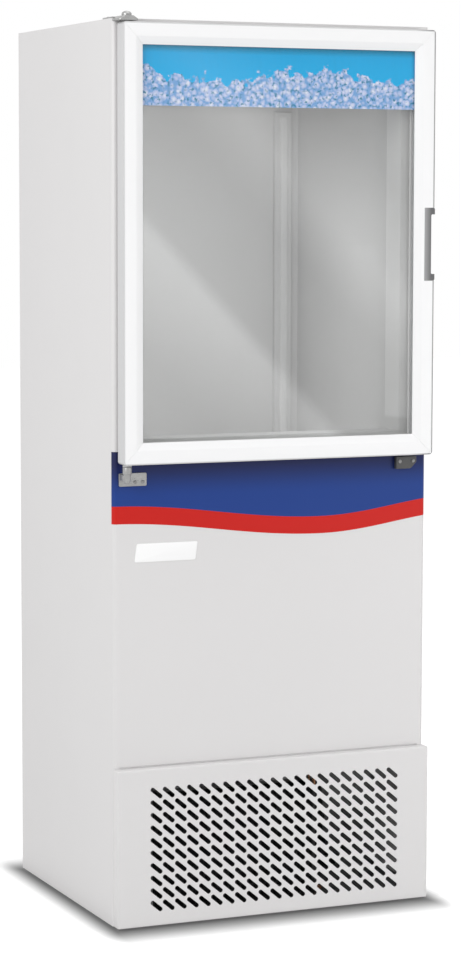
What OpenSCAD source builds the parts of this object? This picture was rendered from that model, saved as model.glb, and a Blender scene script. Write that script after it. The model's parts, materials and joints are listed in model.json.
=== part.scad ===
// Ice merchandiser freezer: a foam-filled steel cabinet with a glass half door over a deep bin,
// and a condensing unit behind a slotted kick panel.
// Millimetres. +Z up, +X to the right of a person who faces the door, -Y towards that person.
// The origin is on the floor, under the middle of the whole object.
// Node modules are written with y = 0 on the cabinet's front face and moved by in_place().

/* [Cabinet] */
// Width of the cabinet over its side panels
cab_w = 766; // [720:1:900]
// Depth of the cabinet without the door
cab_d = 612; // [590:1:760]
// Height of the cabinet's top above the floor
cab_top = 2000; // [1900:1:2200]
// Gap between the floor and the cabinet
foot_gap = 6; // [4:0.5:20]
// Outer radius of the front vertical corners
corner_r = 10; // [6:0.5:14]
// Thickness of the outer steel sheet
sheet_t = 1.2; // [0.8:0.1:2]
// Width of the side panels' folded front edge
side_return = 6; // [4:0.5:10]
// Side wall, from the outside to the liner's face
wall_side = 71; // [60:1:80]
// Back wall, from the outside to the liner's face
wall_back = 60; // [50:1:75]
// Top wall, from the outside to the liner's face
wall_top = 75; // [65:1:90]
// Front wall below the door, from the outside to the liner's face
wall_front = 70; // [60:1:80]
// Foam floor between the machine deck and the liner
wall_floor = 70; // [50:1:90]
// Height of the machine deck above the floor
deck_z = 390; // [385:1:450]
// Thickness of the liner sheet
liner_t = 1; // [0.8:0.1:1.5]

/* [Door opening] */
// Height of the opening's sill above the door's lower edge
sill_rise = 53; // [49:1:70]
// Wall of the plastic throat frame
throat_t = 2; // [1.5:0.1:3]
// Amount that the throat's flange stands proud of the front
throat_proud = 0.8; // [0.5:0.1:1.2]
// Height of the throat's flange below the sill
sill_flange = 25; // [22:1:30]
// Height of the throat's flange above the opening
head_flange = 42; // [38:1:50]

/* [Door] */
// Gap between the door's edge and the cabinet's side
door_side_gap = 6; // [4:0.5:10]
// Distance from the door's top to the cabinet's top
door_top_gap = 9; // [8:0.5:12]
// Height of the door's lower edge above the floor
door_bottom = 1037; // [980:1:1100]
// Thickness of the door frame
door_t = 36; // [34:0.5:42]
// Distance from the door's back to the cabinet's front
door_standoff = 12; // [10.5:0.5:16]
// Width of the door frame's face
frame_w = 47.5; // [46:0.5:60]
// Width of the face that slopes down to the glass
slope_w = 17.5; // [10:0.5:20]
// Depth of the slope at the glass
slope_d = 8; // [5:0.5:8]
// Corner radius of the door
door_r = 5; // [3:0.5:8]
// Thickness of the lip that holds the glass
lip_t = 2; // [1.5:0.1:3]
// Distance that the glass goes into the frame
glass_bite = 8.5; // [7:0.5:9]
// Thickness of each pane
pane_t = 4; // [3:0.5:4.5]
// Gap between the panes
pane_gap = 12; // [9:0.5:12]
// Width of the spacer between the panes
spacer_w = 7; // [5:0.5:8]
// Height of the printed header behind the outer pane
header_h = 130; // [100:1:180]
// Thickness of the printed header
header_t = 0.6; // [0.4:0.1:1]
// Width of the gasket's sealing pad
gasket_w = 20; // [18:0.5:24]
// Gap between the gasket and the throat when the door is shut
gasket_gap = 0.4; // [0.3:0.1:0.6]

/* [Edge grip] */
// Height of the grip
grip_h = 164; // [130:1:200]
// Width of the grip from the door's edge
grip_w = 26; // [22:0.5:27]
// Width of the grip's upright bar
grip_bar = 17; // [14:0.5:18]
// Height of the grip's two ends
grip_arm = 15; // [12:0.5:20]
// Height of the grip's middle above the door's lower edge
grip_rise = 476; // [300:1:600]
// Thickness of the grip's front lip
grip_lip = 10; // [7:0.5:12]
// Thickness of the wall beside the finger space
grip_wall = 6; // [4:0.5:8]

/* [Hinges] */
// Distance from the door's edge to the hinge pins
pin_inset = 16; // [15:0.5:18]
// Diameter of the hinge pins
pin_d = 8; // [6:0.5:10]
// Length of each pin inside the door
pin_grip = 28; // [20:1:36]
// Radial running clearance of the pins
pin_play = 0.05; // [0.02:0.01:0.1]
// Outer diameter of the hinge bushes
bush_d = 14; // [13:0.5:16]
// Diameter of the bush flanges and of the lower knuckle
knuckle_d = 20; // [18:0.5:24]
// Length of the lower knuckle
knuckle_h = 32; // [24:1:40]
// Thickness of the lower bush flange
bush_flange = 4.5; // [3:0.5:6]
// Thickness of the upper bush flange
top_bush_flange = 2; // [1:0.5:3]
// Running gap between the bushes and the brackets
hinge_gap = 0.5; // [0.3:0.1:1]
// Width of the lower hinge plate
plate_w = 65; // [50:1:80]
// Height of the lower hinge plate
plate_h = 29; // [24:1:40]
// Thickness of both hinge plates
plate_t = 3; // [2:0.5:4]
// Length of the upper hinge plate on the cabinet's top
top_plate_l = 60; // [45:1:90]
// Width of the upper hinge arm
top_arm_w = 44; // [36:1:44]
// Height of the upper pin's domed head
dome_h = 10; // [8:0.5:12]

/* [Front] */
// Height of the kick panel's top above the floor
kick_top = 360; // [345:1:375]
// Amount that the kick panel stands proud of the front
kick_proud = 26; // [15:0.5:34]
// Gap between the kick panel and the panel above it
kick_gap = 3; // [2:0.5:6]
// Radius of the kick panel's folds
kick_r = 3; // [2:0.5:4]
// Columns of slots
slot_cols = 21; // [5:1:22]
// Rows of slots
slot_rows = 10; // [3:1:10]
// Pitch of the slots along X
slot_pitch_x = 29.1; // [28.5:0.1:32]
// Pitch of the slots along Z
slot_pitch_z = 28.3; // [28:0.1:32]
// Length of a slot
slot_l = 34; // [20:0.5:35]
// Width of a slot
slot_w = 10; // [4:0.1:10.5]
// Slope of the slots down to the right
slot_angle = 40; // [30:1:50]
// Height of the slot field's middle above the floor
slot_mid_z = 178; // [170:1:185]
// Height of the blue band's upper edge above the door's lower edge
band_rise = 26; // [24:1:27]
// Height of the red stripe's upper edge at the left, below the band's upper edge
band_h = 120; // [100:1:150]
// Depth of the wave from the left edge to its low point
wave_drop = 41; // [20:1:60]
// Rise of the wave from its low point to the right edge
wave_rise = 31; // [15:1:45]
// Place of the wave's low point as a distance from the left edge
wave_low_x = 500; // [420:1:560]
// Height of the red stripe
stripe_h = 39; // [20:1:60]
// Thickness of the vinyl bands
vinyl_t = 0.4; // [0.3:0.1:0.6]
// Length of the slanted plate
badge_w = 153; // [100:1:180]
// Height of the slanted plate
badge_h = 41; // [30:1:60]
// Sideways lean of the slanted plate's ends
badge_lean = 11; // [0:1:16]
// Radius of the slanted plate's corners
badge_r = 4; // [2:0.5:6]
// Thickness of the slanted plate
badge_t = 1.5; // [1:0.5:3]
// Distance from the cabinet's left side to the slanted plate
badge_x = 48.5; // [40:0.5:80]
// Height of the slanted plate's lower edge above the floor
badge_z = 818; // [780:1:820]
// Width of the catch block
catch_w = 35; // [28:1:45]
// Height of the catch block
catch_h = 28; // [20:1:32]
// Depth of the catch block
catch_d = 12; // [9:0.5:20]
// Length of the catch block's tapered ear
catch_ear = 19; // [14:1:24]
// Distance from the cabinet's right side to the ear's end
catch_x = 26; // [22:1:40]
// Diameter of the screw heads
screw_head = 8; // [7:0.5:9]
// Diameter of the screws
screw_d = 4; // [3:0.5:5]
// Height of the screw heads
screw_head_h = 2.5; // [2:0.1:3]

/* [Inside] */
// Width of the upright lamp
lamp_w = 46; // [30:1:60]
// Depth of the lamp housing
lamp_d = 12; // [10:0.5:18]
// Width of the lamp's diffuser
diffuser_w = 18; // [12:1:24]
// Distance from the lamp to the side wall
lamp_side_gap = 20; // [10:1:30]
// Height of the floor rack's rods above the liner floor
rack_rise = 16; // [12:1:30]
// Diameter of the rack's edge rods
rack_rod = 8; // [6:0.5:10]
// Diameter of the rack's thin rods
rack_wire = 4; // [3:0.5:5]
// Number of thin rods
rack_wires = 22; // [12:1:26]
// Height of the evaporator housing
evap_h = 90; // [84:1:95]
// Half width of the evaporator housing
evap_half = 270; // [255:1:280]
// Wall of the evaporator housing
evap_t = 1.5; // [1:0.1:2]
// Distance from the door opening to the housing's front
evap_setback = 60; // [40:1:80]
// Depth of the evaporator coil
evap_coil_d = 170; // [140:1:180]
// Radius of the evaporator fan
evap_fan_r = 82; // [70:1:85]
// Outer diameter of the drain tube
drain_d = 16; // [12:1:18]

/* [Machine compartment] */
// Thickness of the base pan
pan_t = 1.5; // [1.2:0.1:2.5]
// Height of the base pan's rim
pan_rim = 24; // [15:1:28]
// Diameter of the levelling feet
foot_d = 44; // [34:1:60]
// Distance from the cabinet's sides to the feet
foot_inset = 60; // [45:1:90]
// Amount that the rear grille is set in
rear_inset = 28; // [25:1:34]
// Width of the condenser coil
cond_w = 360; // [300:1:380]
// Height of the condenser coil
cond_h = 270; // [230:1:290]
// Depth of the condenser coil
cond_d = 60; // [40:1:70]
// Distance from the front to the condenser coil
cond_y = 35; // [30:1:45]
// Sideways place of the condenser coil's middle
cond_x = -60; // [-70:1:-40]
// Pitch of the fins in both coils
fin_pitch = 10; // [8:0.5:14]
// Thickness of the fins
fin_t = 0.5; // [0.4:0.1:0.8]
// Outer diameter of the coils' tubes
coil_tube_d = 9; // [7:0.5:10]
// Depth of the fan shroud
shroud_d = 30; // [24:1:36]
// Radius of the condenser fan
fan_r = 92; // [80:1:95]
// Gap between the fan's tips and the shroud
fan_gap = 6; // [4:0.5:7]
// Diameter of the fan motors
motor_d = 70; // [60:1:76]
// Radius of the compressor
comp_r = 85; // [75:1:92]
// Height of the compressor
comp_h = 180; // [150:1:200]
// Diameter of the refrigerant lines
line_d = 8; // [6:0.5:10]
// Width of the control box
ctrl_w = 110; // [90:1:120]
// Diameter of the thermostat knob
knob_d = 38; // [30:1:44]
// Diameter of the cord hole in the cable gland
gland_bore = 9; // [7:0.5:10]

/* [Hidden] */
$fn = 64;
eps = 0.01;
cut = 1;

// The whole object's depth is shared evenly about y = 0.
front_y = (door_standoff + door_t - cab_d) / 2;
half_w = cab_w / 2;
front_half = half_w - corner_r - side_return;

// Inside of the cabinet
in_half = half_w - wall_side;
in_back = cab_d - wall_back;
in_top = cab_top - wall_top;
in_floor = deck_z + wall_floor;
sill_z = door_bottom + sill_rise;
flange_low = sill_z - sill_flange;
flange_high = in_top + head_flange;
pipe_y = cab_d - wall_back / 2;

// Door
door_half = half_w - door_side_gap;
door_top = cab_top - door_top_gap;
door_back = -door_standoff;
door_front = door_back - door_t;
glass_play = 1;
rabbet = frame_w - glass_bite - glass_play;
glass_half = door_half - frame_w + glass_bite;
glass_low = door_bottom + frame_w - glass_bite;
glass_high = door_top - frame_w + glass_bite;
glass_face = door_front + slope_d + lip_t;
inner_face = glass_face + pane_t + pane_gap;
glass_back = inner_face + pane_t;
door_edge_r = 4;
dart_w = 5;
dart_d = 3;
dart_grip_gap = 1.5;
dart_u = grip_w + dart_grip_gap + dart_w / 2;

// Hinges
pin_x = -door_half + pin_inset;
pin_y = door_back - door_t / 2;
knuckle_top = door_bottom - bush_flange - hinge_gap;
knuckle_low = knuckle_top - knuckle_h;
bush_over = 2;
web_w = 16;
web_h = 12;
web_rise = 2;
pin_head_h = 3;
pin_head_d = pin_d + 5;
arm_low = door_top + top_bush_flange + hinge_gap;
arm_edge_h = 4;
arm_top = cab_top + plate_t + 1;
arm_crown = 24;
arm_setback = 3;
cap_d = 22;
cap_rim = 3;
plate_x = pin_x - 9;
plate_z = knuckle_low - 13;
plate_back = -vinyl_t;
screw_edge = 9;
screw_step = 18;
top_screw_edge = 12;
top_screw_step = 24;

// Front graphics
band_top = door_bottom + band_rise;
wave_left_z = band_top - band_h;
wave_left = -half_w;
catch_right = half_w - catch_x;
catch_left = catch_right - catch_ear - catch_w;
catch_top = door_bottom - 6;
catch_slope = 2;
catch_screw_drop = 11;

// Edge grip
grip_mid = door_bottom + grip_rise;
grip_left = door_half - grip_w;

// Evaporator at the top of the inside
evap_low = in_top - evap_h;
evap_front = wall_front + evap_setback;
evap_air_gap = 17;
evap_back = in_back - evap_air_gap;
evap_coil_back = evap_back - 13;
evap_coil_front = evap_coil_back - evap_coil_d;
evap_coil_half = evap_half - 45;
evap_coil_low = evap_low + 16;
evap_fan_y = (evap_front + evap_coil_front) / 2;
evap_motor_h = 42;
evap_fan_low = evap_low + 12;
evap_fan_h = 24;
drip_margin = 20;
drip_t = 2;
drip_rim = 11.5;
drip_low = evap_low + evap_t;
spout_z = evap_low + 7;
drain_z = evap_low + 5;
suction_z = evap_low + 45;
pipe_gap = 0.4;
drip_front = 8;
spout_gap = 2;
spout_t = 1.5;
fin_edge = 2;
bend_out = 8;
motor_flange_t = 3;
motor_flange_w = 12;
shaft_in = 30;
fan_blades = 5;

// Condensing unit
pan_top = foot_gap + pan_t;
cond_left = cond_x - cond_w / 2;
cond_right = cond_x + cond_w / 2;
cond_back = cond_y + cond_d;
cond_low = pan_top;
shroud_back = cond_back + shroud_d;
fan_z = cond_low + cond_h / 2;
fan_y = shroud_back - 8;
motor_y = shroud_back + 24;
motor_l = 62;
motor_wall = 8;
fan_depth = 26;
hub_r = 24;
shaft_d = 6;
blade_t = 1.8;
blade_l = 52;
blade_pitch = 32;
shroud_t = 1.5;
comp_side = 150;
comp_rear = 190;
comp_x = half_w - comp_side;
comp_y = cab_d - comp_rear;
comp_feet_z = pan_top + 18;
comp_base_t = 3;
comp_base_top = comp_feet_z + comp_base_t;
comp_base_edge = 18;
comp_shoulder = 30;
comp_stub_dx = 30;
comp_stub_dy = 40;
comp_stub_h = 20;
mount_dx = 85;
mount_dy = 60;
mount_neck = 14;
mount_cap_h = 5;
rear_y = cab_d - rear_inset;
tray_left = -150;
tray_right = 60;
tray_d = 190;
tray_setback = 40;
tray_back = rear_y - tray_setback;
tray_front = tray_back - tray_d;
tray_h = 50;
tray_t = 2;
drain_drop_y = tray_back - 60;
drain_x = 0;
drain_elbow_z = deck_z - 40;
suction_x = -evap_coil_half + 40;
suction_elbow_z = deck_z - 30;
notch_gap = 3;
ctrl_left = -half_w + 30;
ctrl_y = 330;
ctrl_d = 170;
ctrl_h = 160;
ctrl_t = 2;
stat_size = 46;
stat_d = 30;
stat_hub_d = 12;
stat_hub_h = 6;
stat_front = ctrl_y - stat_d - stat_hub_h;
stat_x = ctrl_left + ctrl_w / 2;
stat_z = pan_top + ctrl_h - 45;
knob_h = 18;
knob_gap = 0.6;
gland_x = -half_w + 70;
gland_z = 80;
gland_hole = 16;
gland_tail = 8;
gland_nut_d = 24;
gland_nut_t = 6;
gland_head_d = 22;
stud_d = 9.6;
stud_hole = 10;
stud_over = 8;
foot_neck = 14;
drier_x = cond_right + 45;
drier_y = cond_back + 60;
drier_low = pan_top + 60;
drier_l = 110;
drier_d = 26;
drier_cone = 14;

// ---------- shared shapes ----------

// Moves a node from the front-face frame to the object's own frame.
module in_place() {
    translate([0, front_y, 0]) children();
}

// A box from the low and high value on each axis.
module box(x, y, z) {
    translate([x[0], y[0], z[0]])
        cube([x[1] - x[0], y[1] - y[0], z[1] - z[0]]);
}

// A round bar along each axis, from its centre line's start.
module rod_x(x, y, z, d) {
    translate([x[0], y, z]) rotate([0, 90, 0]) cylinder(h = x[1] - x[0], d = d);
}
module rod_y(x, y, z, d) {
    translate([x, y[1], z]) rotate([90, 0, 0]) cylinder(h = y[1] - y[0], d = d);
}
module rod_z(x, y, z, d) {
    translate([x, y, z[0]]) cylinder(h = z[1] - z[0], d = d);
}

// A tube run of square turns, rounded by a ball at each corner.
module run(points, d) {
    for (i = [0 : len(points) - 2]) {
        a = points[i];
        b = points[i + 1];
        low = [min(a[0], b[0]), min(a[1], b[1]), min(a[2], b[2])];
        high = [max(a[0], b[0]), max(a[1], b[1]), max(a[2], b[2])];
        if (low[0] < high[0]) rod_x([low[0], high[0]], a[1], a[2], d);
        if (low[1] < high[1]) rod_y(a[0], [low[1], high[1]], a[2], d);
        if (low[2] < high[2]) rod_z(a[0], a[1], [low[2], high[2]], d);
        if (i > 0) translate(a) sphere(d = d, $fn = 32);
    }
}

// Plan of the cabinet, set in by the given amount, with its two round front corners.
module cabinet_plan(inset, back) {
    r = corner_r - inset;
    half = half_w - inset;
    translate([-half, corner_r]) square([2 * half, back - corner_r]);
    translate([-half + r, inset]) square([2 * (half - r), corner_r]);
    for (side = [-1, 1])
        translate([side * (half - r), inset + r]) circle(r = r);
}

// Plan of the left outer skin from its rounded front edge to the back.
module skin_plan(inset, thick, reach) {
    r = corner_r - inset;
    translate([-half_w + inset, corner_r]) square([thick, reach - corner_r]);
    translate([-half_w + corner_r, inset]) square([side_return, thick]);
    intersection() {
        translate([-half_w + corner_r, corner_r]) difference() {
            circle(r = r);
            circle(r = r - thick);
        }
        translate([-half_w + inset, inset]) square([corner_r - inset, corner_r - inset]);
    }
}

// A prism through the door's thickness from a shape drawn in x and z.
module door_prism(y) {
    translate([0, y[1], 0]) rotate([90, 0, 0]) linear_extrude(y[1] - y[0]) children();
}

// A rectangular ring of the door, drawn in x and z, between two distances from its edge.
module door_ring(u) {
    difference() {
        translate([-door_half + u[0], door_bottom + u[0]])
            square([2 * (door_half - u[0]), door_top - door_bottom - 2 * u[0]]);
        translate([-door_half + u[1], door_bottom + u[1]])
            square([2 * (door_half - u[1]), door_top - door_bottom - 2 * u[1]]);
    }
}

// ---------- outer casing ----------

module side_panel() {
    translate([0, 0, foot_gap]) linear_extrude(cab_top - foot_gap)
        skin_plan(0, sheet_t, cab_d);
}

module side_panel_left() color("gainsboro") in_place() side_panel();
module side_panel_right() color("gainsboro") in_place() mirror([1, 0, 0]) side_panel();

module top_panel() color("gainsboro") in_place() difference() {
    union() {
        translate([0, 0, cab_top - sheet_t]) linear_extrude(sheet_t)
            cabinet_plan(sheet_t, cab_d);
        box([-front_half, front_half], [0, sheet_t], [flange_high, cab_top]);
    }
    top_screws(screw_d);
}

module back_panel() color("gainsboro") in_place()
    box([-half_w + sheet_t, half_w - sheet_t], [cab_d - sheet_t, cab_d],
        [deck_z, cab_top - sheet_t]);

module lower_front_panel() color("gainsboro") in_place() difference() {
    box([-front_half, front_half], [0, sheet_t], [kick_top + kick_gap, flange_low]);
    front_screws(screw_d);
}

// ---------- front graphics ----------

// Height of the wave at a distance from the left edge: two half cosines that meet at the low point.
function wave(s) = s < wave_low_x
    ? wave_left_z - wave_drop * (1 - cos(180 * s / wave_low_x)) / 2
    : wave_left_z - wave_drop
        + wave_rise * (1 - cos(180 * (s - wave_low_x) / (cab_w - wave_low_x) * 0.72))
        / (1 - cos(180 * 0.72));

// The vinyl between two heights of the wave, wrapped round both front corners.
module vinyl(top_offset, low_offset, flat_top) {
    steps = 48;
    upper = [for (i = [0 : steps]) [wave_left + cab_w * i / steps,
        flat_top ? band_top : wave(cab_w * i / steps) + top_offset]];
    lower = [for (i = [steps : -1 : 0]) [wave_left + cab_w * i / steps,
        wave(cab_w * i / steps) + low_offset]];
    intersection() {
        translate([0, corner_r, 0]) rotate([90, 0, 0])
            linear_extrude(corner_r + cut) polygon(concat(upper, lower));
        translate([0, 0, wave_left_z - band_h - stripe_h])
            linear_extrude(3 * band_h + stripe_h) difference() {
                band_plan();
                cabinet_plan(0, 2 * corner_r);
            }
    }
}

// The cabinet's front outline, moved out by the vinyl's thickness.
module band_plan() {
    r = corner_r + vinyl_t;
    translate([-half_w + corner_r, -vinyl_t]) square([2 * (half_w - corner_r), corner_r]);
    for (side = [-1, 1]) translate([side * (half_w - corner_r), corner_r]) intersection() {
        circle(r = r);
        translate([-r, -r]) square([2 * r, r]);
    }
}

module graphic_blue_band() color("royalblue") in_place() difference() {
    vinyl(0, 0, true);
    front_screws(screw_d);
}

module graphic_red_stripe() color("firebrick") in_place() vinyl(-eps, -stripe_h, false);

module badge_plate() color("whitesmoke") in_place()
    translate([-half_w + badge_x, 0, badge_z]) rotate([90, 0, 0]) linear_extrude(badge_t)
        offset(r = badge_r, $fn = 32) offset(delta = -badge_r)
            polygon([[0, 0], [badge_w - badge_lean, 0], [badge_w, badge_h],
                [badge_lean, badge_h]]);

// ---------- kick panel, rear grille, base ----------

module slot_shape(l, w) {
    square([l - w, w], center = true);
    for (end = [-1, 1]) translate([end * (l - w) / 2, 0]) circle(d = w, $fn = 24);
}

// The solid outline of the kick panel, set in by its sheet for the hollow.
module kick_block(inset) {
    r = kick_r - inset;
    x = half_w - inset;
    y0 = -kick_proud + inset;
    z0 = foot_gap + inset;
    z1 = kick_top - inset;
    intersection() {
        translate([0, 0, z0]) linear_extrude(z1 - z0) {
            translate([-x, y0 + r]) square([2 * x, -y0 - r + inset]);
            translate([-x + r, y0]) square([2 * (x - r), r + eps]);
            for (side = [-1, 1]) translate([side * (x - r), y0 + r]) circle(r = r);
        }
        translate([-x - cut, 0, 0]) rotate([90, 0, 90]) linear_extrude(2 * (x + cut)) {
            translate([y0 + r, z0]) square([-y0 - r + inset + cut, z1 - z0]);
            translate([y0, z0]) square([r + eps, z1 - z0 - r]);
            translate([y0 + r, z1 - r]) circle(r = r);
        }
    }
}

module kick_slots() {
    x0 = -(slot_cols - 1) * slot_pitch_x / 2;
    z0 = slot_mid_z - (slot_rows - 1) * slot_pitch_z / 2;
    translate([0, -kick_proud + 2 * sheet_t, 0]) rotate([90, 0, 0]) linear_extrude(4 * sheet_t)
        for (i = [0 : slot_cols - 1], j = [0 : slot_rows - 1])
            translate([x0 + i * slot_pitch_x, z0 + j * slot_pitch_z])
                rotate(-slot_angle) slot_shape(slot_l, slot_w);
}

module kick_grille() color("gainsboro") in_place() {
    lip = corner_r + side_return;
    difference() {
        kick_block(0);
        kick_block(sheet_t);
        kick_slots();
    }
    for (side = [-1, 1]) mirror([side < 0 ? 1 : 0, 0, 0])
        box([half_w - sheet_t - lip, half_w - sheet_t + eps], [-sheet_t, 0],
            [foot_gap, kick_top - eps]);
}

module rear_grille() color("silver") in_place() {
    vent_l = 160;
    vent_w = 9;
    vent_rows = 9;
    vent_pitch_x = 190;
    vent_pitch_z = 26;
    vent_mid_x = 50;
    vent_low = pan_top + 100;
    difference() {
        box([-half_w + sheet_t, half_w - sheet_t], [rear_y - sheet_t, rear_y],
            [pan_top, deck_z - sheet_t]);
        for (row = [0 : vent_rows - 1], col = [-1 : 1])
            translate([col * vent_pitch_x + vent_mid_x, rear_y + cut, vent_low + row * vent_pitch_z])
                rotate([90, 0, 0]) linear_extrude(sheet_t + 2 * cut) slot_shape(vent_l, vent_w);
        rod_y(gland_x, [rear_y - sheet_t - cut, rear_y + cut], gland_z, gland_hole);
        pipe_notch(drain_x, drain_elbow_z, drain_d);
        pipe_notch(suction_x, suction_elbow_z, line_d);
    }
}

// A round-bottomed notch in the rear grille's top edge, where a pipe comes down through the deck.
module pipe_notch(x, z, d) {
    w = d + 2 * notch_gap;
    rod_y(x, [rear_y - sheet_t - cut, rear_y + cut], z, w);
    box([x - w / 2, x + w / 2], [rear_y - sheet_t - cut, rear_y + cut], [z, deck_z + cut]);
}

module base_pan() color("darkgray") in_place() difference() {
    translate([0, 0, foot_gap]) linear_extrude(pan_rim) cabinet_plan(sheet_t, rear_y - sheet_t);
    translate([0, 0, pan_top]) linear_extrude(pan_rim)
        cabinet_plan(sheet_t + pan_t, rear_y - sheet_t - pan_t);
    for (x = [-1, 1], y = [foot_inset, cab_d - foot_inset])
        rod_z(x * (half_w - foot_inset), y, [0, pan_top + cut], stud_hole);
}

module machine_deck() color("silver") in_place() difference() {
    translate([0, 0, deck_z - sheet_t]) linear_extrude(sheet_t) cabinet_plan(sheet_t, cab_d);
    pipe_shafts(pipe_gap);
}

module levelling_feet() color("dimgray") in_place()
    for (x = [-1, 1], y = [foot_inset, cab_d - foot_inset])
        translate([x * (half_w - foot_inset), y, 0]) {
            cylinder(h = foot_gap / 2, d = foot_d);
            translate([0, 0, foot_gap / 2]) cylinder(h = foot_gap / 2, d = foot_d - foot_neck);
            cylinder(h = pan_top + stud_over, d = stud_d);
        }

// ---------- insulation, throat and liner ----------

// The two pipes that pass through the back wall's foam, with a clearance.
module pipe_shafts(gap) {
    rod_z(drain_x, pipe_y, [deck_z - 2 * sheet_t, drain_z], drain_d + gap);
    rod_y(drain_x, [in_back - cut, pipe_y], drain_z, drain_d / 2 + gap);
    rod_z(suction_x, pipe_y, [deck_z - 2 * sheet_t, suction_z], line_d + gap);
    rod_y(suction_x, [in_back - cut, pipe_y], suction_z, line_d + gap);
    translate([drain_x, pipe_y, drain_z]) sphere(d = drain_d + gap, $fn = 32);
    translate([suction_x, pipe_y, suction_z]) sphere(d = line_d + gap, $fn = 32);
}

module insulation() color("khaki") in_place() difference() {
    translate([0, 0, deck_z]) linear_extrude(cab_top - sheet_t - deck_z)
        cabinet_plan(sheet_t, cab_d - sheet_t);
    box([-in_half - liner_t, in_half + liner_t], [wall_front, in_back + liner_t],
        [in_floor - liner_t, in_top + liner_t]);
    box([-in_half - throat_t, in_half + throat_t], [0, wall_front + eps],
        [sill_z - throat_t, in_top + throat_t]);
    pipe_shafts(pipe_gap);
}

module throat_frame() color("white") in_place() difference() {
    union() {
        box([-front_half, front_half], [-throat_proud, sheet_t], [flange_low, flange_high]);
        box([-in_half - throat_t, in_half + throat_t], [0, wall_front],
            [sill_z - throat_t, in_top + throat_t]);
    }
    box([-in_half, in_half], [-cut - throat_proud, wall_front + cut], [sill_z, in_top]);
}

module liner_side(side) {
    x = side < 0 ? [-in_half - liner_t, -in_half] : [in_half, in_half + liner_t];
    box(x, [wall_front, in_back], [in_floor, in_top]);
}

module liner_left() color("whitesmoke") in_place() liner_side(-1);
module liner_right() color("whitesmoke") in_place() liner_side(1);

module liner_back() color("whitesmoke") in_place() difference() {
    box([-in_half - liner_t, in_half + liner_t], [in_back, in_back + liner_t],
        [in_floor, in_top]);
    pipe_shafts(pipe_gap);
}

module liner_front() color("whitesmoke") in_place()
    box([-in_half, in_half], [wall_front, wall_front + liner_t], [in_floor, sill_z]);

module liner_floor() color("whitesmoke") in_place()
    box([-in_half - liner_t, in_half + liner_t], [wall_front, in_back + liner_t],
        [in_floor - liner_t, in_floor]);

module liner_top() color("whitesmoke") in_place()
    box([-in_half - liner_t, in_half + liner_t], [wall_front, in_back + liner_t],
        [in_top, in_top + liner_t]);

// ---------- hinges, catch and screws ----------

module hinge_bracket_top() color("silver") in_place() {
    half_arm = top_arm_w / 2;
    half_crown = arm_crown / 2;
    arm_out = door_front + arm_setback;
    arm_mid = arm_low + arm_edge_h;
    difference() {
        union() {
            box([pin_x - half_arm, pin_x + half_arm], [-eps, top_plate_l],
                [cab_top, cab_top + plate_t]);
            translate([pin_x, 0, 0]) rotate([90, 0, 0]) linear_extrude(-arm_out)
                polygon([[-half_arm, arm_low], [half_arm, arm_low], [half_arm, arm_mid],
                    [half_crown, arm_top], [-half_crown, arm_top], [-half_arm, arm_mid]]);
        }
        rod_z(pin_x, pin_y, [arm_low - cut, arm_top + cut], pin_d);
        top_screws(screw_d);
    }
}

module hinge_pin_top() color("silver") in_place() {
    rise = dome_h - cap_rim;
    r = (rise + pow(cap_d / 2, 2) / rise) / 2;
    rod_z(pin_x, pin_y, [door_top - pin_grip, arm_top + eps], pin_d);
    rod_z(pin_x, pin_y, [arm_top, arm_top + cap_rim], cap_d);
    intersection() {
        translate([pin_x, pin_y, arm_top + dome_h - r]) sphere(r = r);
        rod_z(pin_x, pin_y, [arm_top + cap_rim / 2, arm_top + dome_h + cut], cap_d);
    }
}

module hinge_bracket_bottom() color("silver") in_place() difference() {
    union() {
        box([plate_x, plate_x + plate_w], [plate_back - plate_t, plate_back],
            [plate_z, plate_z + plate_h]);
        box([pin_x - web_w / 2, pin_x + web_w / 2], [pin_y, plate_back - plate_t + eps],
            [knuckle_low + web_rise, knuckle_low + web_rise + web_h]);
        rod_z(pin_x, pin_y, [knuckle_low, knuckle_top], knuckle_d);
    }
    rod_z(pin_x, pin_y, [knuckle_low - cut, knuckle_top + cut], pin_d);
    front_screws(screw_d);
}

module hinge_pin_bottom() color("silver") in_place() {
    rod_z(pin_x, pin_y, [knuckle_low - eps, door_bottom + pin_grip], pin_d);
    rod_z(pin_x, pin_y, [knuckle_low - pin_head_h, knuckle_low], pin_head_d);
}

module catch_block() color("dimgray") in_place() difference() {
    translate([0, 0, catch_top - catch_h]) linear_extrude(catch_h)
        polygon([[catch_left, -vinyl_t], [catch_left, -vinyl_t - catch_d],
            [catch_left + catch_w, -vinyl_t - catch_d],
            [catch_left + catch_w + catch_slope, -vinyl_t - catch_d / 2],
            [catch_right, -vinyl_t - catch_d / 2], [catch_right, -vinyl_t]]);
    front_screws(screw_d);
}

// Places of the front screws: x, z and the height of the surface under the head.
plate_right = plate_x + plate_w;
front_screw_spots = [
    [plate_right - screw_edge, plate_z + screw_edge, plate_back - plate_t],
    [plate_right - screw_edge - screw_step, plate_z + screw_edge, plate_back - plate_t],
    [catch_left + screw_edge, catch_top - catch_screw_drop, -vinyl_t - catch_d],
    [catch_right - screw_edge, catch_top - catch_screw_drop, -vinyl_t - catch_d / 2]
];
top_screw_y = top_plate_l - top_screw_edge;
top_screw_spots = [[pin_x - top_screw_edge, top_screw_y], [pin_x + top_screw_edge, top_screw_y],
    [pin_x, top_screw_y - top_screw_step]];

module front_screws(d) {
    for (s = front_screw_spots) rod_y(s[0], [s[2] - eps, sheet_t], s[1], d);
}

module top_screws(d) {
    for (s = top_screw_spots) rod_z(s[0], s[1], [cab_top - sheet_t, cab_top + plate_t + eps], d);
}

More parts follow.
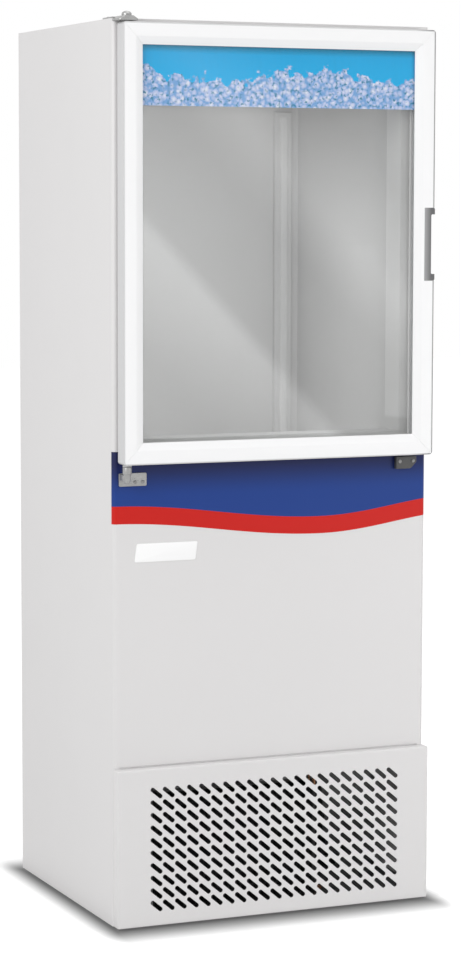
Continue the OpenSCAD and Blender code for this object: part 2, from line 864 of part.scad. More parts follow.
module panel_screws() color("lightgray") in_place() {
    front_screws(screw_d);
    top_screws(screw_d);
    for (s = front_screw_spots) rod_y(s[0], [s[2] - screw_head_h, s[2]], s[1], screw_head);
    for (s = top_screw_spots)
        rod_z(s[0], s[1], [cab_top + plate_t, cab_top + plate_t + screw_head_h], screw_head);
}

// ---------- inside ----------

lamp_right = in_half - lamp_side_gap;
lamp_left = lamp_right - lamp_w;
lamp_mid = (lamp_left + lamp_right) / 2;
lamp_low = in_floor + 25;
lamp_high = evap_low - 12;
lamp_cap = 12;
lamp_groove = 5;
diffuser_proud = 3;

module lamp_housing() color("white") in_place() difference() {
    box([lamp_left, lamp_right], [in_back - lamp_d, in_back], [lamp_low, lamp_high]);
    box([lamp_mid - diffuser_w / 2, lamp_mid + diffuser_w / 2],
        [in_back - lamp_d - cut, in_back - lamp_d + lamp_groove],
        [lamp_low + lamp_cap, lamp_high - lamp_cap]);
}

module lamp_diffuser() color("white") in_place()
    box([lamp_mid - diffuser_w / 2, lamp_mid + diffuser_w / 2],
        [in_back - lamp_d - diffuser_proud, in_back - lamp_d + lamp_groove],
        [lamp_low + lamp_cap, lamp_high - lamp_cap]);

module floor_rack() color("silver") in_place() {
    side_gap = 12;
    end_gap = 14;
    half = in_half - side_gap;
    y0 = wall_front + liner_t + end_gap;
    y1 = in_back - lamp_d - end_gap;
    z = in_floor + rack_rise;
    over = rack_rod / 2 + 1;
    for (y = [y0, y1]) rod_x([-half - over, half + over], y, z, rack_rod);
    for (x = [-half, half]) {
        rod_y(x, [y0, y1], z, rack_rod - 1);
        for (y = [y0, y1]) rod_z(x, y, [in_floor, z], rack_rod - 2);
    }
    for (i = [1 : rack_wires - 1])
        rod_y(-half + 2 * half * i / rack_wires, [y0, y1], z, rack_wire);
}

module evaporator_cover() color("whitesmoke") in_place() difference() {
    box([-evap_half, evap_half], [evap_front, evap_back], [evap_low, in_top]);
    box([-evap_half + evap_t, evap_half - evap_t], [evap_front + evap_t, evap_back + cut],
        [evap_low + evap_t, in_top + cut]);
    rod_z(0, evap_fan_y, [evap_low - cut, evap_low + 2 * evap_t], 2 * (evap_fan_r + fan_gap));
}

// Fins and end plates with tubes along X, in the box given.
module finned_coil(x, y, z, rows, cols) {
    plate = 1.5;
    first = 10;
    count = floor((x[1] - x[0] - 2 * first) / fin_pitch);
    dy = (y[1] - y[0]) / cols;
    dz = (z[1] - z[0]) / rows;
    for (end = [x[0], x[1] - plate]) box([end, end + plate], y, z);
    for (i = [0 : count])
        box([x[0] + first + i * fin_pitch, x[0] + first + i * fin_pitch + fin_t],
            [y[0] + fin_edge, y[1] - fin_edge], [z[0] + fin_edge, z[1] - fin_edge]);
    for (j = [0 : rows - 1], k = [0 : cols - 1])
        rod_x([x[0] - bend_out, x[1] + bend_out], y[0] + (k + 0.5) * dy, z[0] + (j + 0.5) * dz,
            coil_tube_d);
    for (end = [x[0] - bend_out, x[1] + bend_out], k = [0 : cols - 1])
        run([for (j = [0, rows - 1]) [end, y[0] + (k + 0.5) * dy, z[0] + (j + 0.5) * dz]],
            coil_tube_d);
}

module evaporator_coil() color("silver") in_place()
    finned_coil([-evap_coil_half, evap_coil_half], [evap_coil_front, evap_coil_back],
        [evap_coil_low, in_top], 2, 4);

module evaporator_fan_motor() color("dimgray") in_place() difference() {
    union() {
        rod_z(0, evap_fan_y, [in_top - motor_flange_t, in_top], motor_d + 2 * motor_flange_w);
        rod_z(0, evap_fan_y, [in_top - evap_motor_h, in_top], motor_d);
    }
    rod_z(0, evap_fan_y, [in_top - evap_motor_h - cut, in_top - motor_wall],
        shaft_d + 2 * pin_play);
}

// Blades, hub and shaft of a fan about +Z; the shaft points up.
module fan(r, depth, shaft, blades) {
    cylinder(h = depth, r = hub_r);
    cylinder(h = depth + shaft, d = shaft_d);
    intersection() {
        cylinder(h = depth, r = r);
        for (i = [0 : blades - 1]) rotate(i * 360 / blades)
            translate([hub_r / 2, 0, depth / 2]) rotate([blade_pitch, 0, 0])
                translate([0, -blade_l / 2, -blade_t / 2]) cube([r, blade_l, blade_t]);
    }
}

module evaporator_fan() color("white") in_place()
    translate([0, evap_fan_y, evap_fan_low])
        fan(evap_fan_r, evap_fan_h,
            in_top - evap_motor_h + shaft_in - evap_fan_low - evap_fan_h, fan_blades);

// The tray under the evaporator coil, with the spout that leads to the drain tube.
module drain_pan() color("whitesmoke") in_place() difference() {
    half = evap_coil_half + drip_margin;
    front = evap_coil_front - drip_front;
    union() {
        box([-half, half], [front, evap_back], [drip_low, drip_low + drip_rim]);
        rod_y(drain_x, [evap_back - eps, in_back - spout_gap], spout_z, drain_d / 2);
    }
    box([-half + drip_t, half - drip_t], [front + drip_t, evap_back - drip_t],
        [drip_low + drip_t, drip_low + drip_rim + cut]);
    rod_y(drain_x, [evap_back - 2 * drip_t, in_back + cut], spout_z, drain_d / 2 - 2 * spout_t);
}

module drain_tube() color("lightgray") in_place() {
    outlet = pan_top + 14;
    wall = 2;
    difference() {
        union() {
            run([[drain_x, in_back + liner_t, drain_z], [drain_x, pipe_y, drain_z]], drain_d / 2);
            run([[drain_x, pipe_y, drain_z], [drain_x, pipe_y, drain_elbow_z],
                [drain_x, drain_drop_y, drain_elbow_z], [drain_x, drain_drop_y, outlet]],
                drain_d);
            translate([drain_x, pipe_y, drain_z]) sphere(d = drain_d, $fn = 32);
        }
        rod_z(drain_x, drain_drop_y, [outlet - cut, pan_top + tray_h], drain_d - 2 * wall);
    }
}

// ---------- condensing unit ----------

module compressor() color("black") in_place() translate([comp_x, comp_y, comp_feet_z]) {
    weld_out = 5;
    weld_h = 8;
    cover_out = 22;
    cover_w = 56;
    cover_h = 60;
    base_x = mount_dx + comp_base_edge;
    base_y = mount_dy + comp_base_edge;
    rotate_extrude() {
        square([comp_r - comp_shoulder, comp_h]);
        translate([0, comp_shoulder]) square([comp_r, comp_h - 2 * comp_shoulder]);
        for (z = [comp_shoulder, comp_h - comp_shoulder]) intersection() {
            translate([comp_r - comp_shoulder, z]) circle(r = comp_shoulder);
            square([comp_r + cut, comp_h]);
        }
        translate([comp_r - weld_out, (comp_h - weld_h) / 2]) square([2 * weld_out, weld_h]);
    }
    difference() {
        box([-base_x, base_x], [-base_y, base_y], [0, comp_base_t]);
        for (x = [-mount_dx, mount_dx], y = [-mount_dy, mount_dy])
            rod_z(x, y, [-cut, comp_base_t + cut], mount_neck + pipe_gap);
    }
    box([-comp_r - cover_out, -comp_r + cover_out], [-cover_w / 2, cover_w / 2],
        [comp_h / 2 - cover_h, comp_h / 2]);
    for (x = [-comp_stub_dx, comp_stub_dx])
        rod_z(x, comp_stub_dy, [comp_h - 2 * comp_stub_h, comp_h + comp_stub_h], line_d + 4);
}

module compressor_mounts() color("dimgray") in_place()
    for (x = [-mount_dx, mount_dx], y = [-mount_dy, mount_dy])
        translate([comp_x + x, comp_y + y, 0]) {
            rod_z(0, 0, [pan_top, comp_feet_z], 2 * mount_neck);
            rod_z(0, 0, [pan_top, comp_base_top + mount_cap_h], mount_neck);
            rod_z(0, 0, [comp_base_top, comp_base_top + mount_cap_h], mount_neck + 10);
        }

module condenser_coil() color("slategray") in_place()
    finned_coil([cond_left, cond_right], [cond_y, cond_back], [cond_low, cond_low + cond_h], 8, 2);

module fan_shroud() color("dimgray") in_place() difference() {
    box([cond_left, cond_right], [cond_back, shroud_back], [cond_low, cond_low + cond_h]);
    box([cond_left + shroud_t, cond_right - shroud_t], [cond_back - cut, shroud_back - shroud_t],
        [cond_low + shroud_t, cond_low + cond_h - shroud_t]);
    rod_y(cond_x, [cond_back, shroud_back + cut], fan_z, 2 * (fan_r + fan_gap));
}

module condenser_fan_motor() color("black") in_place() {
    arm_r = fan_r + fan_gap + 10;
    arm_t = 4;
    arm_w = 14;
    arm_y = motor_y + motor_wall;
    difference() {
        union() {
            rod_y(cond_x, [motor_y, motor_y + motor_l], fan_z, motor_d);
            for (i = [0 : 2]) translate([cond_x, 0, fan_z]) rotate([0, 90 + 120 * i, 0]) {
                box([0, arm_r + arm_t], [arm_y, arm_y + arm_t], [-arm_w / 2, arm_w / 2]);
                box([arm_r, arm_r + arm_t], [shroud_back, arm_y + arm_t], [-arm_w / 2, arm_w / 2]);
            }
        }
        rod_y(cond_x, [motor_y - cut, motor_y + motor_l - motor_wall], fan_z,
            shaft_d + 2 * pin_play);
    }
}

module condenser_fan() color("silver") in_place()
    translate([cond_x, fan_y, fan_z]) rotate([-90, 0, 0])
        fan(fan_r, fan_depth, motor_y + shaft_in - fan_y - fan_depth, fan_blades);

module filter_drier() color("peru") in_place() translate([drier_x, drier_y, drier_low]) {
    cylinder(h = drier_l, d = drier_d);
    translate([0, 0, drier_l]) cylinder(h = drier_cone, d1 = drier_d, d2 = line_d);
    translate([0, 0, -drier_cone]) cylinder(h = drier_cone, d1 = line_d, d2 = drier_d);
}

module refrigerant_lines() color("peru") in_place() {
    comp_out = comp_feet_z + comp_h + comp_stub_h;
    stub_y = comp_y + comp_stub_dy;
    hot_x = comp_x + comp_stub_dx;
    cold_x = comp_x - comp_stub_dx;
    mid = deck_z - 60;
    low = deck_z - 75;
    cond_in_z = cond_low + cond_h * 15 / 16;
    cond_out_z = cond_low + cond_h / 16;
    cond_tube_y = cond_y + cond_d * 3 / 4;
    cond_end = cond_right + bend_out + coil_tube_d / 2;
    run([[hot_x, stub_y, comp_out], [hot_x, stub_y, mid], [hot_x, cond_tube_y, mid],
        [cond_end + 10, cond_tube_y, mid], [cond_end + 10, cond_tube_y, cond_in_z],
        [cond_end, cond_tube_y, cond_in_z]], line_d);
    run([[cond_end, cond_tube_y, cond_out_z], [drier_x, cond_tube_y, cond_out_z],
        [drier_x, drier_y, cond_out_z], [drier_x, drier_y, drier_low - drier_cone]], line_d);
    run([[drier_x, drier_y, drier_low + drier_l + drier_cone], [drier_x, drier_y, low],
        [suction_x - 20, drier_y, low]], line_d / 2);
    run([[cold_x, stub_y, comp_out], [cold_x, stub_y, suction_elbow_z],
        [suction_x, stub_y, suction_elbow_z], [suction_x, pipe_y, suction_elbow_z],
        [suction_x, pipe_y, suction_z], [suction_x, evap_coil_back, suction_z]], line_d);
}

module evaporation_tray() color("gray") in_place() difference() {
    box([tray_left, tray_right], [tray_front, tray_back], [pan_top, pan_top + tray_h]);
    box([tray_left + tray_t, tray_right - tray_t], [tray_front + tray_t, tray_back - tray_t],
        [pan_top + tray_t, pan_top + tray_h + cut]);
}

module control_box() color("lightgray") in_place() difference() {
    box([ctrl_left, ctrl_left + ctrl_w], [ctrl_y, ctrl_y + ctrl_d], [pan_top, pan_top + ctrl_h]);
    box([ctrl_left + ctrl_t, ctrl_left + ctrl_w - ctrl_t],
        [ctrl_y + ctrl_t, ctrl_y + ctrl_d - ctrl_t], [pan_top - cut, pan_top + ctrl_h - ctrl_t]);
}

module thermostat() color("dimgray") in_place() difference() {
    union() {
        box([stat_x - stat_size / 2, stat_x + stat_size / 2], [ctrl_y - stat_d, ctrl_y],
            [stat_z - stat_size / 2, stat_z + stat_size / 2]);
        rod_y(stat_x, [stat_front, ctrl_y - stat_d + eps], stat_z, stat_hub_d);
    }
    rod_y(stat_x, [stat_front - cut, stat_front + 3 * stat_hub_h], stat_z,
        shaft_d + 2 * pin_play);
}

module thermostat_knob() color("black") in_place() {
    back = stat_front - knob_gap;
    mark_w = 2;
    mark_d = 1.5;
    difference() {
        union() {
            rod_y(stat_x, [back - knob_h, back], stat_z, knob_d);
            rod_y(stat_x, [back - eps, back + 2 * stat_hub_h], stat_z, shaft_d);
        }
        box([stat_x - mark_w / 2, stat_x + mark_w / 2],
            [back - knob_h - cut, back - knob_h + mark_d], [stat_z + shaft_d, stat_z + knob_d]);
    }
}

module cable_gland() color("black") in_place() difference() {
    union() {
        rod_y(gland_x, [rear_y, rear_y + rear_inset - gland_tail], gland_z, gland_head_d);
        rod_y(gland_x, [rear_y - sheet_t - gland_tail, rear_y + eps], gland_z, gland_hole);
        rod_y(gland_x, [rear_y - sheet_t - gland_nut_t, rear_y - sheet_t], gland_z, gland_nut_d);
    }
    rod_y(gland_x, [rear_y - sheet_t - gland_tail - cut, rear_y + rear_inset], gland_z,
        gland_bore);
}

// ---------- door ----------

// Section of a door rail: x is the distance from the door's edge, y the depth from its front.
module rail_section() {
    r = door_edge_r;
    face_end = frame_w - slope_w;
    glass_v = slope_d + lip_t;
    back_v = glass_back - door_front;
    difference() {
        union() {
            polygon([[0, r], [r, 0], [face_end, 0], [frame_w, slope_d], [frame_w, glass_v],
                [rabbet, glass_v], [rabbet, back_v], [frame_w, back_v], [frame_w, door_t],
                [0, door_t]]);
            translate([r, r]) circle(r = r);
        }
        translate([dart_u - dart_w / 2, door_t - dart_d]) square([dart_w, dart_d + cut]);
    }
}

module upright_bar() {
    translate([-door_half, door_front, door_bottom])
        linear_extrude(door_top - door_bottom) rail_section();
}

module level_bar() {
    translate([door_half, door_front, door_bottom]) rotate([0, -90, 0])
        linear_extrude(2 * door_half) rail_section();
}

// The door's rounded outline.
module door_outline() {
    for (x = [-1, 1], z = [door_bottom + door_r, door_top - door_r])
        translate([x * (door_half - door_r), z]) circle(r = door_r);
    translate([-door_half + door_r, door_bottom])
        square([2 * (door_half - door_r), door_top - door_bottom]);
    translate([-door_half, door_bottom + door_r])
        square([2 * door_half, door_top - door_bottom - 2 * door_r]);
}

// The mitred share of the door's face that belongs to the lower or the left bar.
module mitre_low() {
    m = frame_w + cut;
    polygon([[-door_half, door_bottom], [door_half, door_bottom],
        [door_half - m, door_bottom + m], [-door_half + m, door_bottom + m]]);
}
module mitre_left() {
    m = frame_w + cut;
    polygon([[-door_half, door_bottom], [-door_half + m, door_bottom + m],
        [-door_half + m, door_top - m], [-door_half, door_top]]);
}

module flip_z() {
    translate([0, 0, door_bottom + door_top]) mirror([0, 0, 1]) children();
}

module level_rail() intersection() {
    level_bar();
    door_prism([door_front - cut, door_back + cut]) mitre_low();
    door_prism([door_front - cut, door_back + cut]) door_outline();
}

module upright_rail() intersection() {
    upright_bar();
    door_prism([door_front - cut, door_back + cut]) mitre_left();
    door_prism([door_front - cut, door_back + cut]) door_outline();
}

bush_l = pin_grip + bush_over;

module bush_holes() {
    rod_z(pin_x, pin_y, [door_bottom - cut, door_bottom + bush_l], bush_d);
    rod_z(pin_x, pin_y, [door_top - bush_l, door_top + cut], bush_d);
}

module door_rail_bottom() color("white") in_place() difference() {
    level_rail();
    bush_holes();
}

module door_rail_top() color("white") in_place() difference() {
    flip_z() level_rail();
    bush_holes();
}

module door_stile_hinge() color("white") in_place() difference() {
    upright_rail();
    bush_holes();
}

module door_stile_grip() color("white") in_place() difference() {
    mirror([1, 0, 0]) upright_rail();
    box([grip_left, door_half + cut], [door_front - cut, door_back + cut],
        [grip_mid - grip_h / 2, grip_mid + grip_h / 2]);
}

module edge_grip() color("gray") in_place() difference() {
    box([grip_left, door_half], [door_front, door_back],
        [grip_mid - grip_h / 2, grip_mid + grip_h / 2]);
    box([grip_left + grip_bar, door_half + cut], [door_front - cut, door_back + cut],
        [grip_mid - grip_h / 2 + grip_arm, grip_mid + grip_h / 2 - grip_arm]);
    box([grip_left + grip_wall, door_half + cut], [door_front + grip_lip, door_back + cut],
        [grip_mid - grip_h / 2 + grip_arm, grip_mid + grip_h / 2 - grip_arm]);
}

module hinge_bushes() color("gray") in_place() {
    difference() {
        union() {
            rod_z(pin_x, pin_y, [door_bottom - bush_flange, door_bottom], knuckle_d);
            rod_z(pin_x, pin_y, [door_bottom - eps, door_bottom + bush_l], bush_d);
        }
        rod_z(pin_x, pin_y, [door_bottom - 2 * bush_flange, door_bottom + bush_l + cut],
            pin_d + 2 * pin_play);
    }
    difference() {
        union() {
            rod_z(pin_x, pin_y, [door_top, door_top + top_bush_flange], knuckle_d);
            rod_z(pin_x, pin_y, [door_top - bush_l, door_top + eps], bush_d);
        }
        rod_z(pin_x, pin_y, [door_top - bush_l - cut, door_top + 2 * top_bush_flange],
            pin_d + 2 * pin_play);
    }
}

module pane(y) {
    box([-glass_half, glass_half], [y, y + pane_t], [glass_low, glass_high]);
}

module outer_glass() color("lightblue", 0.4) in_place() pane(glass_face);
module inner_glass() color("lightblue", 0.4) in_place() pane(inner_face);

module glass_spacer() color("silver") in_place() {
    edge = frame_w - glass_bite;
    door_prism([glass_face + pane_t, inner_face]) door_ring([edge, edge + spacer_w]);
}

module header_panel() color("deepskyblue") in_place() {
    edge = glass_half - spacer_w;
    box([-edge, edge], [glass_face + pane_t, glass_face + pane_t + header_t],
        [door_top - frame_w - header_h, glass_high - spacer_w]);
}

module door_gasket() color("lightgray") in_place() {
    seal_y = -throat_proud - gasket_gap;
    base_h = 3;
    pad_h = 4;
    fold = 4;
    u0 = pin_inset;
    u1 = pin_inset + gasket_w;
    door_prism([door_back - dart_d, door_back + eps])
        door_ring([dart_u - dart_w / 2, dart_u + dart_w / 2]);
    door_prism([door_back, door_back + base_h]) door_ring([u0, u1]);
    door_prism([door_back + base_h - eps, seal_y - pad_h + eps]) door_ring([u0 + fold, u1 - fold]);
    door_prism([seal_y - pad_h, seal_y]) door_ring([u0 + 1, u1 - 1]);
}

side_panel_left();
side_panel_right();
top_panel();
back_panel();
lower_front_panel();
graphic_blue_band();
graphic_red_stripe();
badge_plate();
kick_grille();
rear_grille();
base_pan();
machine_deck();
levelling_feet();
insulation();
throat_frame();
liner_left();
liner_right();
liner_back();
liner_front();
liner_floor();
liner_top();
hinge_bracket_top();
hinge_pin_top();
hinge_bracket_bottom();
hinge_pin_bottom();
catch_block();
panel_screws();
lamp_housing();
lamp_diffuser();
floor_rack();
evaporator_cover();
evaporator_coil();
evaporator_fan_motor();
evaporator_fan();
drain_pan();
drain_tube();
compressor();
compressor_mounts();
condenser_coil();
fan_shroud();
condenser_fan_motor();
condenser_fan();
filter_drier();
refrigerant_lines();
evaporation_tray();
control_box();
thermostat();
thermostat_knob();
cable_gland();
door_rail_top();
door_rail_bottom();
door_stile_hinge();
door_stile_grip();
outer_glass();
inner_glass();
glass_spacer();
header_panel();
door_gasket();
edge_grip();
hinge_bushes();
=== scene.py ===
# %% [markdown]
# # Ice merchandiser freezer
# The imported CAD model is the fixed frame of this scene. Large plain sheets keep their CAD solids and
# only get a finish. Pieces with rolled, turned or moulded detail are modelled again here, each in
# the place of its CAD solid, so that motion and collision stay with the CAD model.

# %% Load the frame
import json
import math

import bmesh
import bpy
from mathutils import Matrix, Vector


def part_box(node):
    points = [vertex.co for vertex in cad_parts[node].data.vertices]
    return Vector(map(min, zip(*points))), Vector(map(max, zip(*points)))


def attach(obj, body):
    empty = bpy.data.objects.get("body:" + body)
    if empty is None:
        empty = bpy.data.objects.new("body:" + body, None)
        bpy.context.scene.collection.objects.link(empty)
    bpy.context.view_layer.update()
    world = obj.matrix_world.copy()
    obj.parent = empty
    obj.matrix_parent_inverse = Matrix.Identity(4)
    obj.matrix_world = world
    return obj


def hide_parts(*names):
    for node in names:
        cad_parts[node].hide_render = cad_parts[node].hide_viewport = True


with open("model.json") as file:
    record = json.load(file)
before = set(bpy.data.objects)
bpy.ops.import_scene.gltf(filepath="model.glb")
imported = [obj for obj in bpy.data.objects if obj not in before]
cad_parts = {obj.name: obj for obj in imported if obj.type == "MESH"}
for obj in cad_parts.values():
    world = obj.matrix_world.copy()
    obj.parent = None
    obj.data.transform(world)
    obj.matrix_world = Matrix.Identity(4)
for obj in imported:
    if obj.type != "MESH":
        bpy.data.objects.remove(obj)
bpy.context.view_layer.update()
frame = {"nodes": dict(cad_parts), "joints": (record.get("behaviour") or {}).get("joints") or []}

nodes = frame["nodes"]

# %% [markdown]
# ## Camera
# The photograph was taken with a long lens, a little left of the freezer and at eye height. A
# camera can be aimed by an empty or by angles. Angles are used, because yaw, pitch and roll were
# solved from the cabinet's and the door's straight edges.

# %% Camera
MM = 0.001
EYE = Vector((-2.5751, -5.9887, 1.6039))
YAW, PITCH, ROLL = (math.radians(a) for a in (23.42, 5.55, -0.12))
LENS = 106.2

forward = Vector((math.sin(YAW) * math.cos(PITCH), math.cos(YAW) * math.cos(PITCH), -math.sin(PITCH)))
level = Vector((math.cos(YAW), -math.sin(YAW), 0))
down = forward.cross(level)
right = math.cos(ROLL) * level + math.sin(ROLL) * down
below = math.cos(ROLL) * down - math.sin(ROLL) * level
bpy.ops.object.camera_add()
camera = bpy.context.object
camera.name = "camera"
camera.data.lens = LENS
camera.matrix_world = Matrix.Translation(EYE) @ Matrix((right, -below, -forward)).transposed().to_4x4()
bpy.context.scene.camera = camera
print("camera looks along", [round(v, 3) for v in forward])

# %% [markdown]
# ## Helpers for edit mode
# An operator acts on all that is selected. So each step first deselects everything and then picks
# faces or edges by their place or direction. These short helpers keep that in one place.

# %% Helpers for selecting
def activate(piece):
    """Leaves edit mode and makes the piece the only selected and active object."""
    if bpy.context.object and bpy.context.object.mode != "OBJECT":
        bpy.ops.object.mode_set(mode="OBJECT")
    bpy.ops.object.select_all(action="DESELECT")
    if piece:
        piece.select_set(True)
        bpy.context.view_layer.objects.active = piece
    return piece


def edit(piece, kind="FACE"):
    """Enters edit mode on the piece with nothing selected."""
    activate(piece)
    bpy.ops.object.mode_set(mode="EDIT")
    bpy.ops.mesh.select_mode(type=kind)
    bpy.ops.mesh.select_all(action="DESELECT")


def settle():
    """Applies the active object's place, turn and size to its mesh."""
    bpy.ops.object.transform_apply(location=True, rotation=True, scale=True)


def named(name):
    """The object just made, under its name."""
    piece = bpy.context.object
    piece.name = piece.data.name = name
    return piece


def pick(piece, kind, items, test):
    """Selects the items of the edited mesh that pass the test, and returns how many."""
    bpy.ops.mesh.select_mode(type=kind)
    bpy.ops.mesh.select_all(action="DESELECT")
    mesh = bmesh.from_edit_mesh(piece.data)
    if kind == "FACE":
        mesh.normal_update()
    found = [item for item in getattr(mesh, items) if test(item)]
    for item in found:
        item.select_set(True)
    bmesh.update_edit_mesh(piece.data)
    return len(found)


def pick_faces(piece, test):
    """Selects the faces whose centre and normal pass the test."""
    return pick(piece, "FACE", "faces", lambda f: test(f.calc_center_median(), f.normal))


def pick_edges(piece, test):
    """Selects the edges whose two ends pass the test."""
    return pick(piece, "EDGE", "edges", lambda e: test(e.verts[0].co, e.verts[1].co))


def near(a, b, room=1e-5):
    return abs(a - b) < room


def lies(axis=None, **at):
    """A test for edges that run along an axis, 0 being X, and lie at the given x, y or z."""
    fixed = [i for i in range(3) if axis not in (None, i)]
    return lambda a, b: (all(near(a[i], b[i]) for i in fixed)
                         and all(near(getattr(p, name), at[name]) for p in (a, b) for name in at))


def outlines(half_x, low_z, high_z):
    """A test for edges along the outline of an upright rectangle whose middle is at X = 0."""
    def on(p):
        inside = abs(p.x) < half_x + 1e-5 and low_z - 1e-5 < p.z < high_z + 1e-5
        return inside and (near(abs(p.x), half_x) or near(p.z, low_z) or near(p.z, high_z))
    return lambda a, b: on(a) and on(b) and (near(a.x, b.x) or near(a.z, b.z))


print("selection helpers ready")

# %% [markdown]
# ## Helpers for shaping
# A few moves come back on every piece: a face is drawn out, an edge is rounded, one shape is cut
# out of another, parts are joined. Each move is one short function, so the cells below read as a
# list of such moves.

# %% Helpers for shaping
def draw_out(move=(0, 0, 0)):
    """Extrudes what is selected."""
    bpy.ops.mesh.extrude_region_move(TRANSFORM_OT_translate={"value": move})


def resize(factors, centre):
    bpy.ops.transform.resize(value=factors, center_override=centre)


def weld():
    """Merges doubled vertices and turns all faces outward."""
    bpy.ops.mesh.select_all(action="SELECT")
    bpy.ops.mesh.remove_doubles(threshold=1e-6)
    bpy.ops.mesh.normals_make_consistent(inside=False)


def add_block(name, low, high):
    """A cube primitive at its size and place, ready to be shaped."""
    activate(None)
    low, high = Vector(low), Vector(high)
    bpy.ops.mesh.primitive_cube_add(size=1, location=(low + high) / 2)
    bpy.context.object.scale = high - low
    settle()
    return named(name)


def round_edges(piece, radius, segments, test):
    """Bevels the edges that pass the test."""
    edit(piece, "EDGE")
    count = pick_edges(piece, test)
    bpy.ops.mesh.bevel(offset=radius, segments=segments, affect="EDGES", clamp_overlap=True)
    activate(piece)
    return count


def modify(piece, kind, **settings):
    """Adds a modifier with these settings and applies it."""
    activate(piece)
    modifier = piece.modifiers.new(kind.lower(), kind)
    for name, value in settings.items():
        setattr(modifier, name, value)
    bpy.ops.object.modifier_apply(modifier=modifier.name)


def soften(piece, width, segments=3, angle=60):
    """Bevels all edges sharper than the angle."""
    modify(piece, "BEVEL", width=width, segments=segments, limit_method="ANGLE",
           angle_limit=math.radians(angle))


def cut_away(piece, tool):
    """Cuts the tool's shape out of the piece and removes the tool."""
    modify(piece, "BOOLEAN", operation="DIFFERENCE", object=tool, solver="EXACT")
    bpy.data.objects.remove(tool)


def join(name, pieces):
    """Makes one piece of several."""
    activate(pieces[0])
    for piece in pieces:
        piece.select_set(True)
    bpy.ops.object.join()
    return named(name)


def copy_to(piece, name, move=(0, 0, 0), turn=(0, 0, 0)):
    """A copy with its own mesh, turned about the origin in degrees and then moved."""
    other = piece.copy()
    other.data = piece.data.copy()
    bpy.context.scene.collection.objects.link(other)
    spin = Matrix.Identity(4)
    for axis, angle in zip("XYZ", turn):
        spin = Matrix.Rotation(math.radians(angle), 4, axis) @ spin
    other.matrix_world = Matrix.Translation(Vector(move)) @ spin
    activate(other)
    settle()
    return named(name)


print("shaping helpers ready")

# %% [markdown]
# ## Turned pieces and bent pipes
# Pins, knobs and the compressor's shell are round about an axis. A primitive cylinder gives only
# its sharp outline. Here one vertex is extruded along the profile and spun round the axis, as a
# lathe does. A pipe is a chain of vertices whose corners are bevelled and then given a bore.

# %% Helpers for turned pieces and pipes
TURN_TO = {"+Z": (0, 0, 0), "-Z": (math.pi, 0, 0), "+Y": (-math.pi / 2, 0, 0)}


def add_chain(name, points):
    """A chain of edges through the points, extruded from one vertex and left selected."""
    activate(None)
    bpy.ops.mesh.primitive_plane_add(size=0.001, location=(0, 0, 0))
    piece = named(name)
    edit(piece, "VERT")
    bpy.ops.mesh.select_all(action="SELECT")
    bpy.ops.mesh.merge(type="CENTER")
    bpy.ops.transform.translate(value=Vector(points[0]))
    for start, end in zip(points, points[1:]):
        draw_out(Vector(end) - Vector(start))
    bpy.ops.mesh.select_all(action="SELECT")
    return piece


def lathe(name, base, axis, profile, steps=48):
    """Spins a profile of (radius, height) in millimetres about an axis through the base point."""
    piece = add_chain(name, [(r * MM, 0, h * MM) for r, h in profile])
    bpy.ops.mesh.spin(steps=steps, angle=2 * math.pi, center=(0, 0, 0), axis=(0, 0, 1))
    weld()
    activate(piece)
    piece.rotation_euler = TURN_TO[axis]
    piece.location = base
    settle()
    return piece


def drill(piece, base, axis, radius, low, high, steps=32):
    """Cuts a round hole, with its radius and both heights in millimetres."""
    cut_away(piece, lathe("bore", base, axis, [(0, low), (radius, low), (radius, high), (0, high)], steps))


def arc(centre, radius, start, end, steps=6):
    """Points of a round corner in a profile, in millimetres and degrees."""
    angles = [math.radians(start + (end - start) * i / steps) for i in range(steps + 1)]
    return [(centre[0] + radius * math.cos(a), centre[1] + radius * math.sin(a)) for a in angles]


def pipe(name, points, diameter, bend, sides=8):
    """A round pipe through the points, in metres, with bends of one radius."""
    piece = add_chain(name, points)
    pick(piece, "VERT", "verts", lambda v: len(v.link_edges) == 2)
    bpy.ops.mesh.bevel(offset=bend, segments=6, affect="VERTICES", clamp_overlap=True)
    activate(piece)
    bpy.ops.object.convert(target="CURVE")
    curve = bpy.context.object
    curve.data.bevel_depth = diameter / 2
    curve.data.bevel_resolution = sides // 2
    curve.data.use_fill_caps = True
    bpy.ops.object.convert(target="MESH")
    return named(name)


print("lathe and pipe ready")

# %% [markdown]
# ## Shared surface effects
# Sprayed paint, plated metal and moulded plastic each repeat over many pieces. A node group holds
# such an effect once, and each material sets its colour and scale. The groups only put out colour,
# roughness and height. The shader itself stays in the material.

# %% Shader groups
def feed(tree, target, values):
    """Gives a node's inputs plain values, or links them to the sockets of other nodes."""
    for name, value in values.items():
        if isinstance(value, bpy.types.NodeSocket):
            tree.links.new(value, target.inputs[name])
        else:
            target.inputs[name].default_value = value


def node(tree, kind, values=None, **settings):
    """Adds a shader node, sets its properties and then feeds its inputs."""
    made = tree.nodes.new("ShaderNode" + kind)
    for name, value in settings.items():
        setattr(made, name, value)
    feed(tree, made, values or {})
    return made


def maths(tree, operation, *values):
    """A Math node on its inputs in order. This and the next helpers return the output socket."""
    return node(tree, "Math", dict(enumerate(values)), operation=operation).outputs["Value"]


def vectors(tree, operation, *values):
    return node(tree, "VectorMath", dict(enumerate(values)), operation=operation).outputs["Vector"]


def blend(tree, factor, first, last):
    """Mixes two colours."""
    return node(tree, "Mix", {"Factor": factor, "A": first, "B": last}, data_type="RGBA").outputs["Result"]


def scaled(tree, value, low, high, from_low=0.25, from_high=0.75, step="LINEAR"):
    """Maps a value to a range."""
    return node(tree, "MapRange", {"Value": value, "From Min": from_low, "From Max": from_high,
                                   "To Min": low, "To Max": high}, interpolation_type=step).outputs["Result"]


